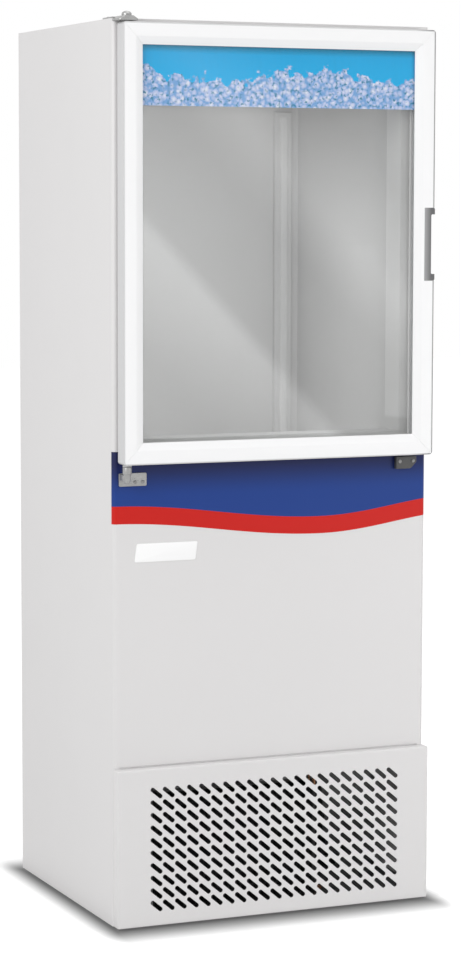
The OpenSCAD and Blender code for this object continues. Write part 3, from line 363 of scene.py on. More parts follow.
def ramp(tree, value, *stops):
    """A colour ramp through stops of position and colour."""
    made = node(tree, "ValToRGB", {"Fac": value})
    elements = made.color_ramp.elements
    for element, (position, colour) in zip(elements, (stops[0], stops[-1])):
        element.position, element.color = position, colour
    for position, colour in stops[1:-1]:
        elements.new(position).color = colour
    return made.outputs["Color"]


def object_place(tree):
    return node(tree, "TexCoord").outputs["Object"]


def parts_of(tree, vector):
    """The X, Y and Z outputs of a split vector."""
    return node(tree, "SeparateXYZ", {0: vector}).outputs


def object_noise(tree, scale, detail, stretch=None):
    """Noise on object coordinates. The scale and the stretch may be sockets of the group."""
    place = object_place(tree)
    if stretch is not None:
        place = vectors(tree, "MULTIPLY", place, stretch)
    return node(tree, "TexNoise", {"Detail": detail, "Vector": place, "Scale": scale}).outputs["Fac"]


def make_skin_group(name, cloud_scale, tone, rough_swing):
    """A skin: clouds in the tone, patches in the roughness, and a grain of its own scale."""
    tree = bpy.data.node_groups.new(name, "ShaderNodeTree")
    for title, kind, value in (("Colour", "Color", (0.8, 0.8, 0.8, 1)), ("Roughness", "Float", 0.4),
                               ("Grain", "Float", 700.0), ("Stretch", "Vector", (1, 1, 1))):
        socket = tree.interface.new_socket(name=title, in_out="INPUT", socket_type="NodeSocket" + kind)
        socket.default_value = value
    for title, kind in (("Colour", "Color"), ("Roughness", "Float"), ("Height", "Float")):
        tree.interface.new_socket(name=title, in_out="OUTPUT", socket_type="NodeSocket" + kind)
    given = tree.nodes.new("NodeGroupInput").outputs
    cloud = scaled(tree, object_noise(tree, cloud_scale, 3), 1 - tone, 1.0)
    patch = scaled(tree, object_noise(tree, 6 * cloud_scale, 4), 1 - rough_swing, 1 + rough_swing)
    tinted = node(tree, "VectorMath", {0: given["Colour"], "Scale": cloud}, operation="SCALE")
    feed(tree, tree.nodes.new("NodeGroupOutput"), {
        "Colour": tinted.outputs["Vector"], "Roughness": maths(tree, "MULTIPLY", given["Roughness"], patch),
        "Height": object_noise(tree, given["Grain"], 2, given["Stretch"])})
    return tree


SPRAYED = make_skin_group("sprayed_paint", 1.5, 0.02, 0.10)
PLATED = make_skin_group("plated_metal", 60, 0.16, 0.30)
MOULDED = make_skin_group("moulded_plastic", 12, 0.05, 0.12)
print("groups", [g.name for g in bpy.data.node_groups])

# %% [markdown]
# ## Materials
# Each finish is a Principled shader whose colour, roughness and bump come from one of the groups.
# The bump is the fine skin only: orange peel on the paint, spangle and drawing marks on the steel,
# and spark grain on the plastic. Shape never comes from bump.

# %% Materials
def new_material(name):
    """A material with nodes, its node tree and its Principled shader."""
    material = bpy.data.materials.new(name)
    material.use_nodes = True
    return material, material.node_tree, material.node_tree.nodes["Principled BSDF"]


def surface(name, group, colour, roughness, grain, depth, **shader_values):
    """A Principled material fed by a skin group. Depth is the bump's height in millimetres."""
    material, tree, shader = new_material(name)
    skin = node(tree, "Group", node_tree=group)
    feed(tree, skin, {"Colour": (*colour, 1), "Roughness": roughness, "Grain": grain, "Stretch": (1, 1, 1)})
    bump = node(tree, "Bump", {"Strength": 1.0, "Distance": depth * MM, "Height": skin.outputs["Height"]})
    feed(tree, shader, {"Base Color": skin.outputs["Colour"], "Roughness": skin.outputs["Roughness"],
                        "Normal": bump.outputs["Normal"]})
    feed(tree, shader, {title.replace("_", " "): value for title, value in shader_values.items()})
    return material


def colour_of(tree):
    """The colour input of the skin group in a surface() material."""
    return next(n for n in tree.nodes if n.type == "GROUP").inputs["Colour"]


casing = surface("casing_paint", SPRAYED, (0.69, 0.68, 0.68), 0.36, 700, 0.03)
door_skin = surface("door_profile", SPRAYED, (0.865, 0.865, 0.87), 0.30, 500, 0.01)
liner = surface("liner_paint", SPRAYED, (0.60, 0.60, 0.60), 0.45, 700, 0.01)
throat = surface("throat_plastic", MOULDED, (0.77, 0.77, 0.77), 0.38, 900, 0.02)
steel = surface("galvanised_steel", PLATED, (0.56, 0.57, 0.58), 0.42, 90, 0.04, Metallic=1.0)
zinc = surface("zinc_plate", PLATED, (0.40, 0.40, 0.395), 0.34, 260, 0.05, Metallic=0.6)
rack_coat = surface("rack_coating", MOULDED, (0.70, 0.70, 0.70), 0.35, 500, 0.02)
aluminium = surface("fin_aluminium", PLATED, (0.72, 0.73, 0.74), 0.36, 300, 0.03, Metallic=1.0)
black_fin = surface("black_fins", SPRAYED, (0.035, 0.035, 0.037), 0.5, 500, 0.04)
black_paint = surface("black_enamel", SPRAYED, (0.022, 0.022, 0.024), 0.36, 450, 0.05)
rubber = surface("black_rubber", MOULDED, (0.03, 0.03, 0.03), 0.75, 900, 0.06)
foam = surface("poured_foam", MOULDED, (0.75, 0.62, 0.36), 0.85, 260, 0.4)
fan_plastic = surface("fan_plastic", MOULDED, (0.72, 0.72, 0.70), 0.45, 800, 0.03)
tray_skin = surface("tray_plastic", MOULDED, (0.50, 0.51, 0.51), 0.5, 700, 0.05)
copper = surface("copper_tube", PLATED, (0.72, 0.36, 0.20), 0.30, 120, 0.03, Metallic=1.0)
box_paint = surface("box_paint", SPRAYED, (0.45, 0.46, 0.46), 0.45, 600, 0.04)
knob_skin = surface("knob_plastic", MOULDED, (0.03, 0.03, 0.03), 0.42, 900, 0.04)
catch_skin = surface("catch_plastic", MOULDED, (0.075, 0.075, 0.075), 0.42, 800, 0.06)
grip_skin = surface("grip_plastic", MOULDED, (0.165, 0.165, 0.168), 0.40, 1000, 0.05)
gasket_skin = surface("gasket_rubber", MOULDED, (0.58, 0.58, 0.58), 0.6, 900, 0.04)
bush_skin = surface("bush_plastic", MOULDED, (0.42, 0.42, 0.42), 0.4, 900, 0.02)
badge_skin = surface("badge_enamel", SPRAYED, (0.93, 0.93, 0.93), 0.16, 300, 0.004, Coat_Weight=0.6)
lamp_skin = surface("lamp_housing", MOULDED, (0.60, 0.60, 0.60), 0.4, 700, 0.02)
red_vinyl = surface("red_vinyl", SPRAYED, (0.56, 0.010, 0.006), 0.34, 400, 0.012, Specular_IOR_Level=0.25)
print("materials", len(bpy.data.materials))

# %% [markdown]
# ### Tone along one axis
# Two mouldings change their tone along one direction. The throat frame is greyer at its sill than
# on its jambs. The edge grip carries painted light and shade: it is pale where it meets the frame
# and dark toward the outer side of its bar, in place of the shading of a rounded face. The place of
# a point along one axis picks the mix of the two tones.

# %% Tone along one axis
SILL_TONE, JAMB_TONE, SILL_TOP, SILL_BLEND = (0.60, 0.60, 0.60, 1), (0.77, 0.77, 0.77, 1), 60 * MM, 10 * MM


def blend_along(material, axis, start, stop, first, last, step="LINEAR"):
    """Gives a surface() material one tone before start, another after stop, and a blend between."""
    tree = material.node_tree
    share = scaled(tree, parts_of(tree, object_place(tree))[axis], 0, 1, start, stop, step)
    tree.links.new(blend(tree, share, first, last), colour_of(tree))


sill_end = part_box("throat_frame")[0].z + SILL_TOP
blend_along(throat, "Z", sill_end - SILL_BLEND, sill_end, SILL_TONE, JAMB_TONE)
print("sill greyer up to", round(sill_end, 3))

# %% [markdown]
# ### Door profile
# The profile's show face is bright white. Its flanks carry a painted shade in a duller grey white,
# and the free edge on the right a darker painted shade, standing in for the shade on the faces
# turned away from the light. The distance from the middle of the door, along X and along Z, tells
# where the flanks begin, and soft steps blend the tones.

# %% Painted shade on the flanks of the door profile
# Tones of the painted shade: a duller grey white on the flanks and a dark grey on the free right edge.
FLANK_PAINTED_SHADE, FLANK_FROM, FLANK_TO = (0.58, 0.58, 0.585, 1), 4.5 * MM, 1.2 * MM
FREE_EDGE_PAINTED_SHADE, FREE_FROM, FREE_TO = (0.20, 0.20, 0.205, 1), 50 * MM, 10 * MM
door_low, door_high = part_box("door_rail_bottom")[0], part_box("door_rail_top")[1]
door_mid = (door_low + door_high) / 2
tree = door_skin.node_tree
offset = vectors(tree, "SUBTRACT", object_place(tree), door_mid)
inset = vectors(tree, "SUBTRACT", vectors(tree, "ABSOLUTE", offset), (door_high - door_low) / 2)
parts = parts_of(tree, inset)
edge = maths(tree, "MAXIMUM", parts["X"], parts["Z"])
# Masks of the painted shade on the flanks and on the free right edge.
flank_shade_mask = scaled(tree, edge, 0, 1, -FLANK_FROM, -FLANK_TO, "SMOOTHSTEP")
free_edge_shade_mask = scaled(tree, parts_of(tree, offset)["X"], 0, 1, door_high.x - FREE_FROM, door_high.x - FREE_TO)
face_tone = tuple(colour_of(tree).default_value)
sides = blend(tree, free_edge_shade_mask, FLANK_PAINTED_SHADE, FREE_EDGE_PAINTED_SHADE)
tree.links.new(blend(tree, flank_shade_mask, face_tone, sides), colour_of(tree))
print("door", [round(v, 3) for v in door_high - door_low])

# %% [markdown]
# ### Blue vinyl
# The band is one sheet of printed vinyl. Its blue is deep at the top edge, under the door, and
# opens to a royal blue above the stripe. The deep tone is partly the print's own ink and partly a
# painted shadow of the door. The height of a point drives a soft gradient between the two tones.

# %% Blue vinyl
band_low, band_high = (corner.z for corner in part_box("graphic_blue_band"))
# The deep tone at the band's top is partly print and partly the door's painted shadow.
DEEP_INK_AND_DOOR_SHADOW, INK_BLUE = (0.010, 0.014, 0.070, 1), (0.010, 0.045, 0.235, 1)
FADE_FROM, FADE_TO = 105 * MM, 20 * MM
blue_vinyl = surface("blue_vinyl", SPRAYED, INK_BLUE[:3], 0.34, 400, 0.012, Specular_IOR_Level=0.25)
blend_along(blue_vinyl, "Z", band_high - FADE_FROM, band_high - FADE_TO, INK_BLUE, DEEP_INK_AND_DOOR_SHADOW, "SMOOTHSTEP")
print("band from", round(band_low, 3), "to", round(band_high, 3))

# %% [markdown]
# ### Glass
# Clear panes are a smooth Principled shader with full transmission. Light from outside has to
# reach the inside, and a path tracer rarely finds lamps through glass. So rays that look for
# light pass straight through by Light Path, while the eye still sees reflections.

# %% Glass
def mix_shaders(tree, share, first, last):
    return node(tree, "MixShader", {"Fac": share, 1: first, 2: last}).outputs["Shader"]


def make_glass(name, tint):
    material, tree, shader = new_material(name)
    smear = node(tree, "Bump", {"Strength": 0.15, "Distance": 0.02 * MM, "Height": object_noise(tree, 9, 3)})
    feed(tree, shader, {"Base Color": (*tint, 1), "Roughness": 0.0, "IOR": 1.52, "Transmission Weight": 1.0,
                        "Metallic": 0.0, "Normal": smear.outputs["Normal"]})
    ray = node(tree, "LightPath").outputs
    looks_for_light = maths(tree, "MAXIMUM", ray["Is Shadow Ray"], ray["Is Diffuse Ray"])
    clear = node(tree, "BsdfTransparent", {"Color": (*tint, 1)}).outputs["BSDF"]
    pane = mix_shaders(tree, looks_for_light, shader.outputs["BSDF"], clear)
    feed(tree, tree.nodes["Material Output"], {"Surface": pane})
    return material


glass = make_glass("clear_glass", (0.91, 0.912, 0.91))
print("glass ready")

# %% [markdown]
# ### Header print
# The header is a printed film behind the outer pane. Its place holds a plain winter design of our
# own: a blue sky over low drifts of crushed ice. The sky's top edge is darkened as a painted shade
# under the frame's lip. Two long waves and a noise give the drifts' outline. Voronoi cells on a
# warped grid give the lumps of ice, each pale in its middle and bluer at its rim, and a finer noise
# sets dark melt water between them.

# %% Header print
ICE_SCALE, ICE_WARP, CREST_NOISE, WARP_NOISE, MELT_NOISE = 92.0, 0.011, 42, 60.0, 130
DRIFT_WAVES = ((0.46, 0.09, 0.4), (0.17, 0.04, 1.9))  # length in metres, swing as a share, shift
# The sky's last stop, at the top edge, is a painted shade under the frame's lip.
SKY_TONES_AND_TOP_SHADE = ((0.0, (0.0, 0.50, 0.94, 1)), (0.86, (0.0, 0.43, 0.84, 1)), (1.0, (0.0, 0.20, 0.34, 1)))
ICE_TONES = ((0.15, (0.86, 0.90, 1.0, 1)), (0.58, (0.58, 0.66, 0.92, 1)), (1.0, (0.20, 0.42, 0.78, 1)))
MELT_TONE = (0.0, 0.22, 0.40, 1)


def make_header_print():
    low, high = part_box("header_panel")
    material = surface("header_print", SPRAYED, (0.1, 0.4, 0.7), 0.30, 300, 0.002, Specular_IOR_Level=0.0)
    tree = material.node_tree
    place = object_place(tree)
    spot = parts_of(tree, place)
    up = scaled(tree, spot["Z"], 0, 1, low.z, high.z)
    crest = scaled(tree, object_noise(tree, CREST_NOISE, 4), 0.40, 0.66, 0.3, 0.7)
    for length, swing, shift in DRIFT_WAVES:
        wave = maths(tree, "SINE", maths(tree, "MULTIPLY_ADD", spot["X"], 2 * math.pi / length, shift))
        crest = maths(tree, "MULTIPLY_ADD", wave, swing, crest)
    ripple = node(tree, "TexNoise", {"Scale": WARP_NOISE, "Detail": 3.0, "Vector": place}).outputs["Color"]
    warped = vectors(tree, "MULTIPLY_ADD", ripple, (ICE_WARP, ICE_WARP, ICE_WARP), place)
    lumps = node(tree, "TexVoronoi", {"Scale": ICE_SCALE, "Vector": warped}).outputs
    own_tone = node(tree, "SeparateColor", {0: lumps["Color"]}).outputs[0]
    ice = ramp(tree, maths(tree, "MULTIPLY_ADD", own_tone, 0.45, lumps["Distance"]), *ICE_TONES)
    melt = scaled(tree, object_noise(tree, MELT_NOISE, 4), 0, 0.9, 0.54, 0.65)
    in_drift = scaled(tree, maths(tree, "SUBTRACT", crest, up), 0, 1, -0.01, 0.02)
    sky = ramp(tree, up, *SKY_TONES_AND_TOP_SHADE)
    print_tone = blend(tree, in_drift, sky, blend(tree, melt, ice, MELT_TONE))
    tree.links.new(print_tone, colour_of(tree))
    return material


header_print = make_header_print()
print("header print ready")

# %% [markdown]
# ### Lamp diffuser
# The frosted strip of the lamp is a moulded plastic that gives off a weak even light.

# %% Lamp diffuser finish
diffuser = surface("frosted_diffuser", MOULDED, (0.66, 0.66, 0.66), 0.45, 600, 0.01,
                   Emission_Color=(1, 1, 1, 1), Emission_Strength=0.02)
print("diffuser ready")

# %% [markdown]
# ## Finishes on the CAD solids
# Flat sheets, liners, panes and fins are already right as solids. Each gets its finish through its
# material slot, and nothing of its mesh is touched.

# %% Dress the CAD solids
DRESS = [
    (casing, "side_panel_left side_panel_right top_panel back_panel lower_front_panel"),
    (liner, "liner_left liner_right liner_back liner_front liner_floor liner_top evaporator_cover"),
    (throat, "throat_frame"), (blue_vinyl, "graphic_blue_band"), (red_vinyl, "graphic_red_stripe"),
    (steel, "rear_grille base_pan machine_deck"), (foam, "insulation"), (glass, "outer_glass inner_glass"),
    (aluminium, "glass_spacer evaporator_coil"), (black_fin, "condenser_coil"),
    (header_print, "header_panel"), (rack_coat, "floor_rack"), (tray_skin, "drain_pan evaporation_tray"),
    (black_paint, "evaporator_fan_motor condenser_fan_motor fan_shroud"), (box_paint, "control_box"),
    (knob_skin, "thermostat"), (copper, "filter_drier refrigerant_lines"), (rubber, "compressor_mounts"),
    (tray_skin, "drain_tube"), (black_paint, "compressor"), (fan_plastic, "evaporator_fan"),
    (aluminium, "condenser_fan"), (rubber, "levelling_feet"), (lamp_skin, "lamp_housing"),
    (diffuser, "lamp_diffuser"), (knob_skin, "thermostat_knob cable_gland"), (zinc, "panel_screws"),
    (zinc, "hinge_bracket_top hinge_pin_top hinge_bracket_bottom hinge_pin_bottom"),
    (bush_skin, "hinge_bushes"), (gasket_skin, "door_gasket")]
for material, names in DRESS:
    for name in names.split():
        mesh = nodes[name].data
        mesh.materials.clear()
        mesh.materials.append(material)
print("dressed", sum(len(names.split()) for _, names in DRESS), "CAD solids")


# %% A helper that finishes a new piece
def finish_piece(piece, body, slot, material, *replaced, smooth=35):
    """Shades, paints and mounts a new piece, and hides the CAD solids that it stands for."""
    activate(piece)
    bpy.ops.object.shade_smooth_by_angle(angle=math.radians(smooth))
    piece.data.materials.clear()
    piece.data.materials.append(material)
    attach(piece, body)
    if replaced:
        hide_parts(*replaced)
    print(piece.name, len(piece.data.polygons), "faces")
    return piece


# %% [markdown]
# ## Door frame
# The frame is an extruded white profile, mitred at 45 degrees. It has a flat face, a slope down to
# a thin lip, and a groove behind the lip that holds the sealed glass unit. The four bars could be
# extruded one by one. Instead one block is inset into a whole frame and then cut at the mitres, so
# that the bars' sections meet exactly.

# %% Door frame as one block
FACE_W, SLOPE_W, SLOPE_D = 30 * MM, 17.5 * MM, 8 * MM
DOOR_R, EDGE_R, RIDGE_R = 7 * MM, 6 * MM, 1.2 * MM
MITRE_GAP, PANE_ROOM = 0.12 * MM, 1 * MM
pane_low, pane_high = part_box("outer_glass")
glass_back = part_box("inner_glass")[1].y
frame_w = FACE_W + SLOPE_W
lip = pane_low.y - door_low.y - SLOPE_D

frame_block = add_block("door_block", door_low, door_high)
edit(frame_block)
pick_faces(frame_block, lambda c, n: n.y < -0.9)
bpy.ops.mesh.inset(thickness=FACE_W)
bpy.ops.mesh.inset(thickness=SLOPE_W, depth=-SLOPE_D)
draw_out((0, lip, 0))
draw_out()
groove_x = (pane_high.x + PANE_ROOM) / (door_high.x - frame_w)
groove_z = (pane_high.z + PANE_ROOM - door_mid.z) / (door_high.z - frame_w - door_mid.z)
resize((groove_x, 1, groove_z), (0, pane_low.y, door_mid.z))
draw_out((0, glass_back - pane_low.y, 0))
bpy.ops.mesh.delete(type="FACE")
pick_faces(frame_block, lambda c, n: n.y > 0.9 and near(c.y, door_high.y))
bpy.ops.mesh.inset(thickness=frame_w)
draw_out((0, glass_back - door_high.y, 0))
bpy.ops.mesh.delete(type="FACE")
pick_edges(frame_block, lies(y=glass_back))
bpy.ops.mesh.bridge_edge_loops()
activate(frame_block)
print("door block", len(frame_block.data.polygons), "faces; lip", round(lip / MM, 2), "mm")


# %% Round the door's edges
half_z = door_high.z - door_mid.z
on_outline = outlines(door_high.x, door_low.z, door_high.z)
on_ridge = outlines(door_high.x - FACE_W, door_low.z + FACE_W, door_high.z - FACE_W)
on_face = lies(y=door_low.y)


def beside_rim(p):
    """Whether a point is no further from the outline than the corners' radius."""
    return max(abs(p.x) - door_high.x, abs(p.z - door_mid.z) - half_z) > -DOOR_R - 1e-5


corners = round_edges(frame_block, DOOR_R, 6, lambda a, b: lies(1)(a, b) and on_outline(a, a)
                      and near(abs(a.x), door_high.x) and near(abs(a.z - door_mid.z), half_z))
rim = round_edges(frame_block, EDGE_R, 5, lambda a, b: on_face(a, b) and (beside_rim(a) or beside_rim(b))
                  and not (on_ridge(a, a) or on_ridge(b, b)))
ridge = round_edges(frame_block, RIDGE_R, 3, lambda a, b: on_face(a, b) and on_ridge(a, b))
print("rounded", corners, "corner,", rim, "rim and", ridge, "ridge edges")

# %% [markdown]
# ### Bores, notch and mitres
# Both hinge bushes sit in bores at the hinge side. On the other side a notch takes the grip. The
# bars are copies of the whole frame, each cut by its two mitre planes, with a hair's width between
# them that shows as the fine joint line.

# %% Cut the frame into its four bars
pin = next(j for j in frame["joints"] if j["name"] == "door_swing")["pos_m"]
BUSH_HOLE_R, BUSH_HOLE_L, CUT_PAST = 7.05, 30, 1 * MM
for end, axis in ((door_low.z, "+Z"), (door_high.z, "-Z")):
    drill(frame_block, (pin[0], pin[1], end), axis, BUSH_HOLE_R, -1, BUSH_HOLE_L)
grip_low, grip_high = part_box("edge_grip")
cut_away(frame_block, add_block("notch", (grip_low.x, door_low.y - CUT_PAST, grip_low.z),
                                (door_high.x + CUT_PAST, door_high.y + CUT_PAST, grip_high.z)))


def mitred_bar(name, sides, replaced):
    """A copy of the frame that keeps what lies inside its two mitre planes."""
    bar = copy_to(frame_block, name)
    for end_x, end_z, out_x, out_z in sides:
        outward = Vector((out_x, 0, out_z)).normalized()
        corner = Vector((end_x * door_high.x, 0, door_mid.z + end_z * half_z)) - outward * MITRE_GAP
        edit(bar)
        bpy.ops.mesh.select_all(action="SELECT")
        bpy.ops.mesh.bisect(plane_co=corner, plane_no=outward, use_fill=True, clear_outer=True)
    finish_piece(bar, "door", "door_white", door_skin, replaced)


mitred_bar("rail_bottom", [(-1, -1, -1, 1), (1, -1, 1, 1)], "door_rail_bottom")
mitred_bar("rail_top", [(-1, 1, -1, -1), (1, 1, 1, -1)], "door_rail_top")
mitred_bar("stile_hinge", [(-1, -1, 1, -1), (-1, 1, 1, 1)], "door_stile_hinge")
mitred_bar("stile_grip", [(1, -1, -1, -1), (1, 1, -1, 1)], "door_stile_grip")
bpy.data.objects.remove(frame_block)

# %% [markdown]
# ## Edge grip
# The grip is a dark grey moulding let into the edge of the door, with painted light where it meets
# the frame and painted shade toward its bar.
# From the front it reads as a C, and the fingers reach round its bar into a hollow. A block is cut
# twice, once right through for the notch and once behind the front lip, and then all its edges are
# softened.

# %% Edge grip
GRIP_BAR, GRIP_ARM, GRIP_LIP, GRIP_WALL, GRIP_PAST = 17 * MM, 15 * MM, 10 * MM, 6 * MM, 5 * MM
GRIP_R, HOLLOW_R, FINGER_R, GRIP_SOFT, LONG_EDGE = 4 * MM, 2.5 * MM, 6 * MM, 0.7 * MM, 50 * MM
# Tones of the grip's painted shading: lit where it meets the frame, shaded toward the bar.
GRIP_PAINTED_LIGHT, GRIP_PAINTED_SHADE = (0.34, 0.34, 0.345, 1), (0.115, 0.115, 0.118, 1)
grip = add_block("grip", grip_low, grip_high)
round_edges(grip, GRIP_R, 5, lies(1, x=grip_high.x))
bar_x = grip_low.x + GRIP_BAR
for x, y in ((bar_x, grip_low.y - GRIP_PAST), (grip_low.x + GRIP_WALL, grip_low.y + GRIP_LIP)):
    hollow = add_block("hollow", (x, y, grip_low.z + GRIP_ARM),
                       (grip_high.x + GRIP_PAST, grip_high.y + GRIP_PAST, grip_high.z - GRIP_ARM))
    round_edges(hollow, HOLLOW_R, 4, lies(1, x=x))
    cut_away(grip, hollow)
long_edge = lies(2, x=bar_x, y=grip_low.y)
round_edges(grip, FINGER_R, 6, lambda a, b: long_edge(a, b) and (a - b).length > LONG_EDGE)
soften(grip, GRIP_SOFT, angle=50)
# Painted light and shade across the grip's face, from the frame toward the bar.
blend_along(grip_skin, "X", grip_low.x + CUT_PAST, bar_x, GRIP_PAINTED_LIGHT, GRIP_PAINTED_SHADE)
finish_piece(grip, "door", "grip_grey", grip_skin, "edge_grip")

# %% [markdown]
# ## Kick panel
# The panel in front of the condensing unit is one folded sheet with 21 by 10 slanted slots. One
# slot is modelled as a small cell: a stadium-shaped loop bridged to a square. Two Array modifiers
# repeat the cell, the rim is drawn out to the folds, and Solidify gives the sheet its thickness,
# so that every slot gets its own walls. A lip folds back along its top, and a small hook behind the
# gap above it holds the panel to the sheet over it.

# %% One slot cell
COLUMNS, ROWS, PITCH_X, PITCH_Z = 21, 10, 29.1 * MM, 28.3 * MM
SLOT_L, SLOT_W, SLOT_TILT, SLOT_MID_Z = 34 * MM, 10 * MM, 40, 178 * MM
SLOT_SIDES, HALF_STEP = 12, math.pi / 12
FACING = (math.pi / 2, 0, 0)
kick_low, kick_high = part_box("kick_grille")
kick_mid = Vector(((kick_low.x + kick_high.x) / 2, kick_low.y, (kick_low.z + kick_high.z) / 2))
cell_at = Vector((-(COLUMNS - 1) / 2 * PITCH_X, kick_low.y, SLOT_MID_Z - (ROWS - 1) / 2 * PITCH_Z))


def add_sheet(centre, wide, high):
    """Adds an upright rectangle to the mesh that is being edited."""
    bpy.ops.mesh.primitive_plane_add(size=1, location=centre, rotation=FACING)
    resize((wide, 1, high), centre)


activate(None)
bpy.ops.mesh.primitive_circle_add(vertices=SLOT_SIDES, radius=SLOT_W / 2 / math.cos(HALF_STEP),
                                  location=cell_at, rotation=(math.pi / 2, HALF_STEP, 0))
panel = named("kick_panel")
settle()
edit(panel, "VERT")
mesh = bmesh.from_edit_mesh(panel.data)
for vertex in mesh.verts:
    vertex.co.x += math.copysign((SLOT_L - SLOT_W) / 2, vertex.co.x - cell_at.x)
bmesh.update_edit_mesh(panel.data)
bpy.ops.mesh.select_all(action="SELECT")
bpy.ops.transform.rotate(value=-math.radians(SLOT_TILT), orient_axis="Y", center_override=cell_at)
bpy.ops.mesh.select_all(action="DESELECT")
add_sheet(cell_at, PITCH_X, PITCH_Z)
bpy.ops.mesh.delete(type="ONLY_FACE")
pick_edges(panel, lambda a, b: max(abs(a.x - cell_at.x), abs(b.x - cell_at.x)) > PITCH_X / 2 - 1e-6
           and (a - b).length > PITCH_Z - 1e-5)
bpy.ops.mesh.subdivide(number_cuts=2)
bpy.ops.mesh.select_all(action="SELECT")
bpy.ops.mesh.bridge_edge_loops()
if pick_faces(panel, lambda c, n: n.y > 0):
    bpy.ops.mesh.flip_normals()
activate(panel)
print("cell faces", len(panel.data.polygons))

# %% Repeat the cell and fold the panel
SHEET, RIM_LAND, FOLD_R, FOLD_LAND = 1.2 * MM, 12 * MM, 3 * MM, 9 * MM
LIP_BACK, LIP_INSET, HOOK_GAP, HOOK_UP = 16 * MM, 1 * MM, 0.2 * MM, 8 * MM
for count, step in ((COLUMNS, (PITCH_X, 0, 0)), (ROWS, (0, 0, PITCH_Z))):
    modify(panel, "ARRAY", count=count, use_relative_offset=False, use_constant_offset=True,
           constant_offset_displace=step, use_merge_vertices=True, merge_threshold=1e-5)
field_x, field_z = COLUMNS * PITCH_X / 2, ROWS * PITCH_Z / 2
land_x, land_z = field_x + RIM_LAND, field_z + RIM_LAND
on_field = outlines(field_x, SLOT_MID_Z - field_z, SLOT_MID_Z + field_z)
on_land = outlines(land_x, SLOT_MID_Z - land_z, SLOT_MID_Z + land_z)
on_inset = outlines(kick_high.x - FOLD_LAND, kick_low.z + FOLD_LAND, kick_high.z - FOLD_LAND)
on_rim = outlines(kick_high.x, kick_low.z, kick_high.z)
edit(panel)
pick_edges(panel, on_field)
draw_out()
resize((land_x / field_x, 1, land_z / field_z), (0, kick_low.y, SLOT_MID_Z))
add_sheet(kick_mid, kick_high.x - kick_low.x, kick_high.z - kick_low.z)
bpy.ops.mesh.inset(thickness=FOLD_LAND)
bpy.ops.mesh.delete(type="FACE")
pick_edges(panel, lambda a, b: on_land(a, b) or on_inset(a, b))
bpy.ops.mesh.bridge_edge_loops()
pick_edges(panel, on_rim)
draw_out((0, kick_high.y - kick_low.y, 0))
weld()
activate(panel)
front_edge = lies(y=kick_low.y)
folds = round_edges(panel, FOLD_R, 5, lambda a, b: on_rim(a, b) and (front_edge(a, b) or lies(1)(a, b)))
modify(panel, "SOLIDIFY", thickness=SHEET, offset=-1, use_even_offset=True)
front_low, front_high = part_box("lower_front_panel")
lip_from, lip_to = front_low.x + LIP_INSET, front_high.x - LIP_INSET
hook_y = front_high.y + HOOK_GAP
return_lip = add_block("return_lip", (lip_from, kick_high.y - SHEET, kick_high.z - SHEET),
                       (lip_to, kick_high.y + LIP_BACK, kick_high.z))
hook = add_block("hook", (lip_from, hook_y, kick_high.z - SHEET / 2),
                 (lip_to, hook_y + SHEET, front_low.z + HOOK_UP))
panel = join("kick_panel", [panel, return_lip, hook])
print(folds, "folded edges")
finish_piece(panel, "cabinet", "casing_white", casing, "kick_grille")

# %% [markdown]
# ## Badge plate
# A slanted, glossy plate sits on the lower panel. It is bare. A plane could be drawn out to a plate.
# Instead a thin block is leaned over by moving its vertices, and its corners and rim are rounded.

# %% Badge plate
BADGE_LEAN, BADGE_R, BADGE_RIM = 11 * MM, 4 * MM, 0.6 * MM
badge_low, badge_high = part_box("badge_plate")
badge_mid_z = (badge_low.z + badge_high.z) / 2
badge = add_block("badge", badge_low, badge_high)
edit(badge, "VERT")
mesh = bmesh.from_edit_mesh(badge.data)
for vertex in mesh.verts:
    leaned = vertex.co.x + math.copysign(BADGE_LEAN / 2, vertex.co.z - badge_mid_z)
    vertex.co.x = min(max(leaned, badge_low.x), badge_high.x)
bmesh.update_edit_mesh(badge.data)
round_edges(badge, BADGE_R, 6, lies(1))
round_edges(badge, BADGE_RIM, 3, lies(y=badge_low.y))
finish_piece(badge, "cabinet", "badge_white", badge_skin, "badge_plate")

# %% [markdown]
# ## Top hinge
# A pressed steel bracket is screwed to the roof. Its arm steps out over the door, and a domed cap
# nut closes the pin on top. The arm is a flat block whose top is drawn up and narrowed, as a press
# does it. The cap is turned in one piece with its pin.

# %% Top hinge
top_low, top_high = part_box("hinge_bracket_top")
cap_low, cap_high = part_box("hinge_pin_top")
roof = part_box("top_panel")[1].z
PLATE_T, PLATE_BEND_Y = 3 * MM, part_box("side_panel_left")[0].y
PLATE_R, ARM_RIM, ARM_CROWN, ARM_R, ARM_SOFT, PLATE_SOFT = (v * MM for v in (4, 4, 24, 5, 0.8, 0.4))
PIN_R, CAP_R, CAP_DOME, CAP_EDGE = 4, 11, 7, 0.8
plate = add_block("roof_plate", (top_low.x, PLATE_BEND_Y, roof), (top_high.x, top_high.y, roof + PLATE_T))
round_edges(plate, PLATE_R, 5, lies(2, y=top_high.y))
arm = add_block("arm", top_low, (top_high.x, PLATE_BEND_Y, top_low.z + ARM_RIM))
edit(arm)
pick_faces(arm, lambda c, n: n.z > 0.9)
draw_out((0, 0, top_high.z - top_low.z - ARM_RIM))
resize((ARM_CROWN / (top_high.x - top_low.x), 1, 1), (pin[0], 0, 0))
activate(arm)
front_edge = lies(y=top_low.y)
round_edges(arm, ARM_R, 5, lambda a, b: front_edge(a, b) and not near(a.z, b.z))
soften(arm, ARM_SOFT, angle=25)
soften(plate, PLATE_SOFT, 2)
bracket = join("top_bracket", [plate, arm])
finish_piece(bracket, "cabinet", "zinc_steel", zinc, "hinge_bracket_top")
arm_top = (top_high.z - cap_low.z) / MM
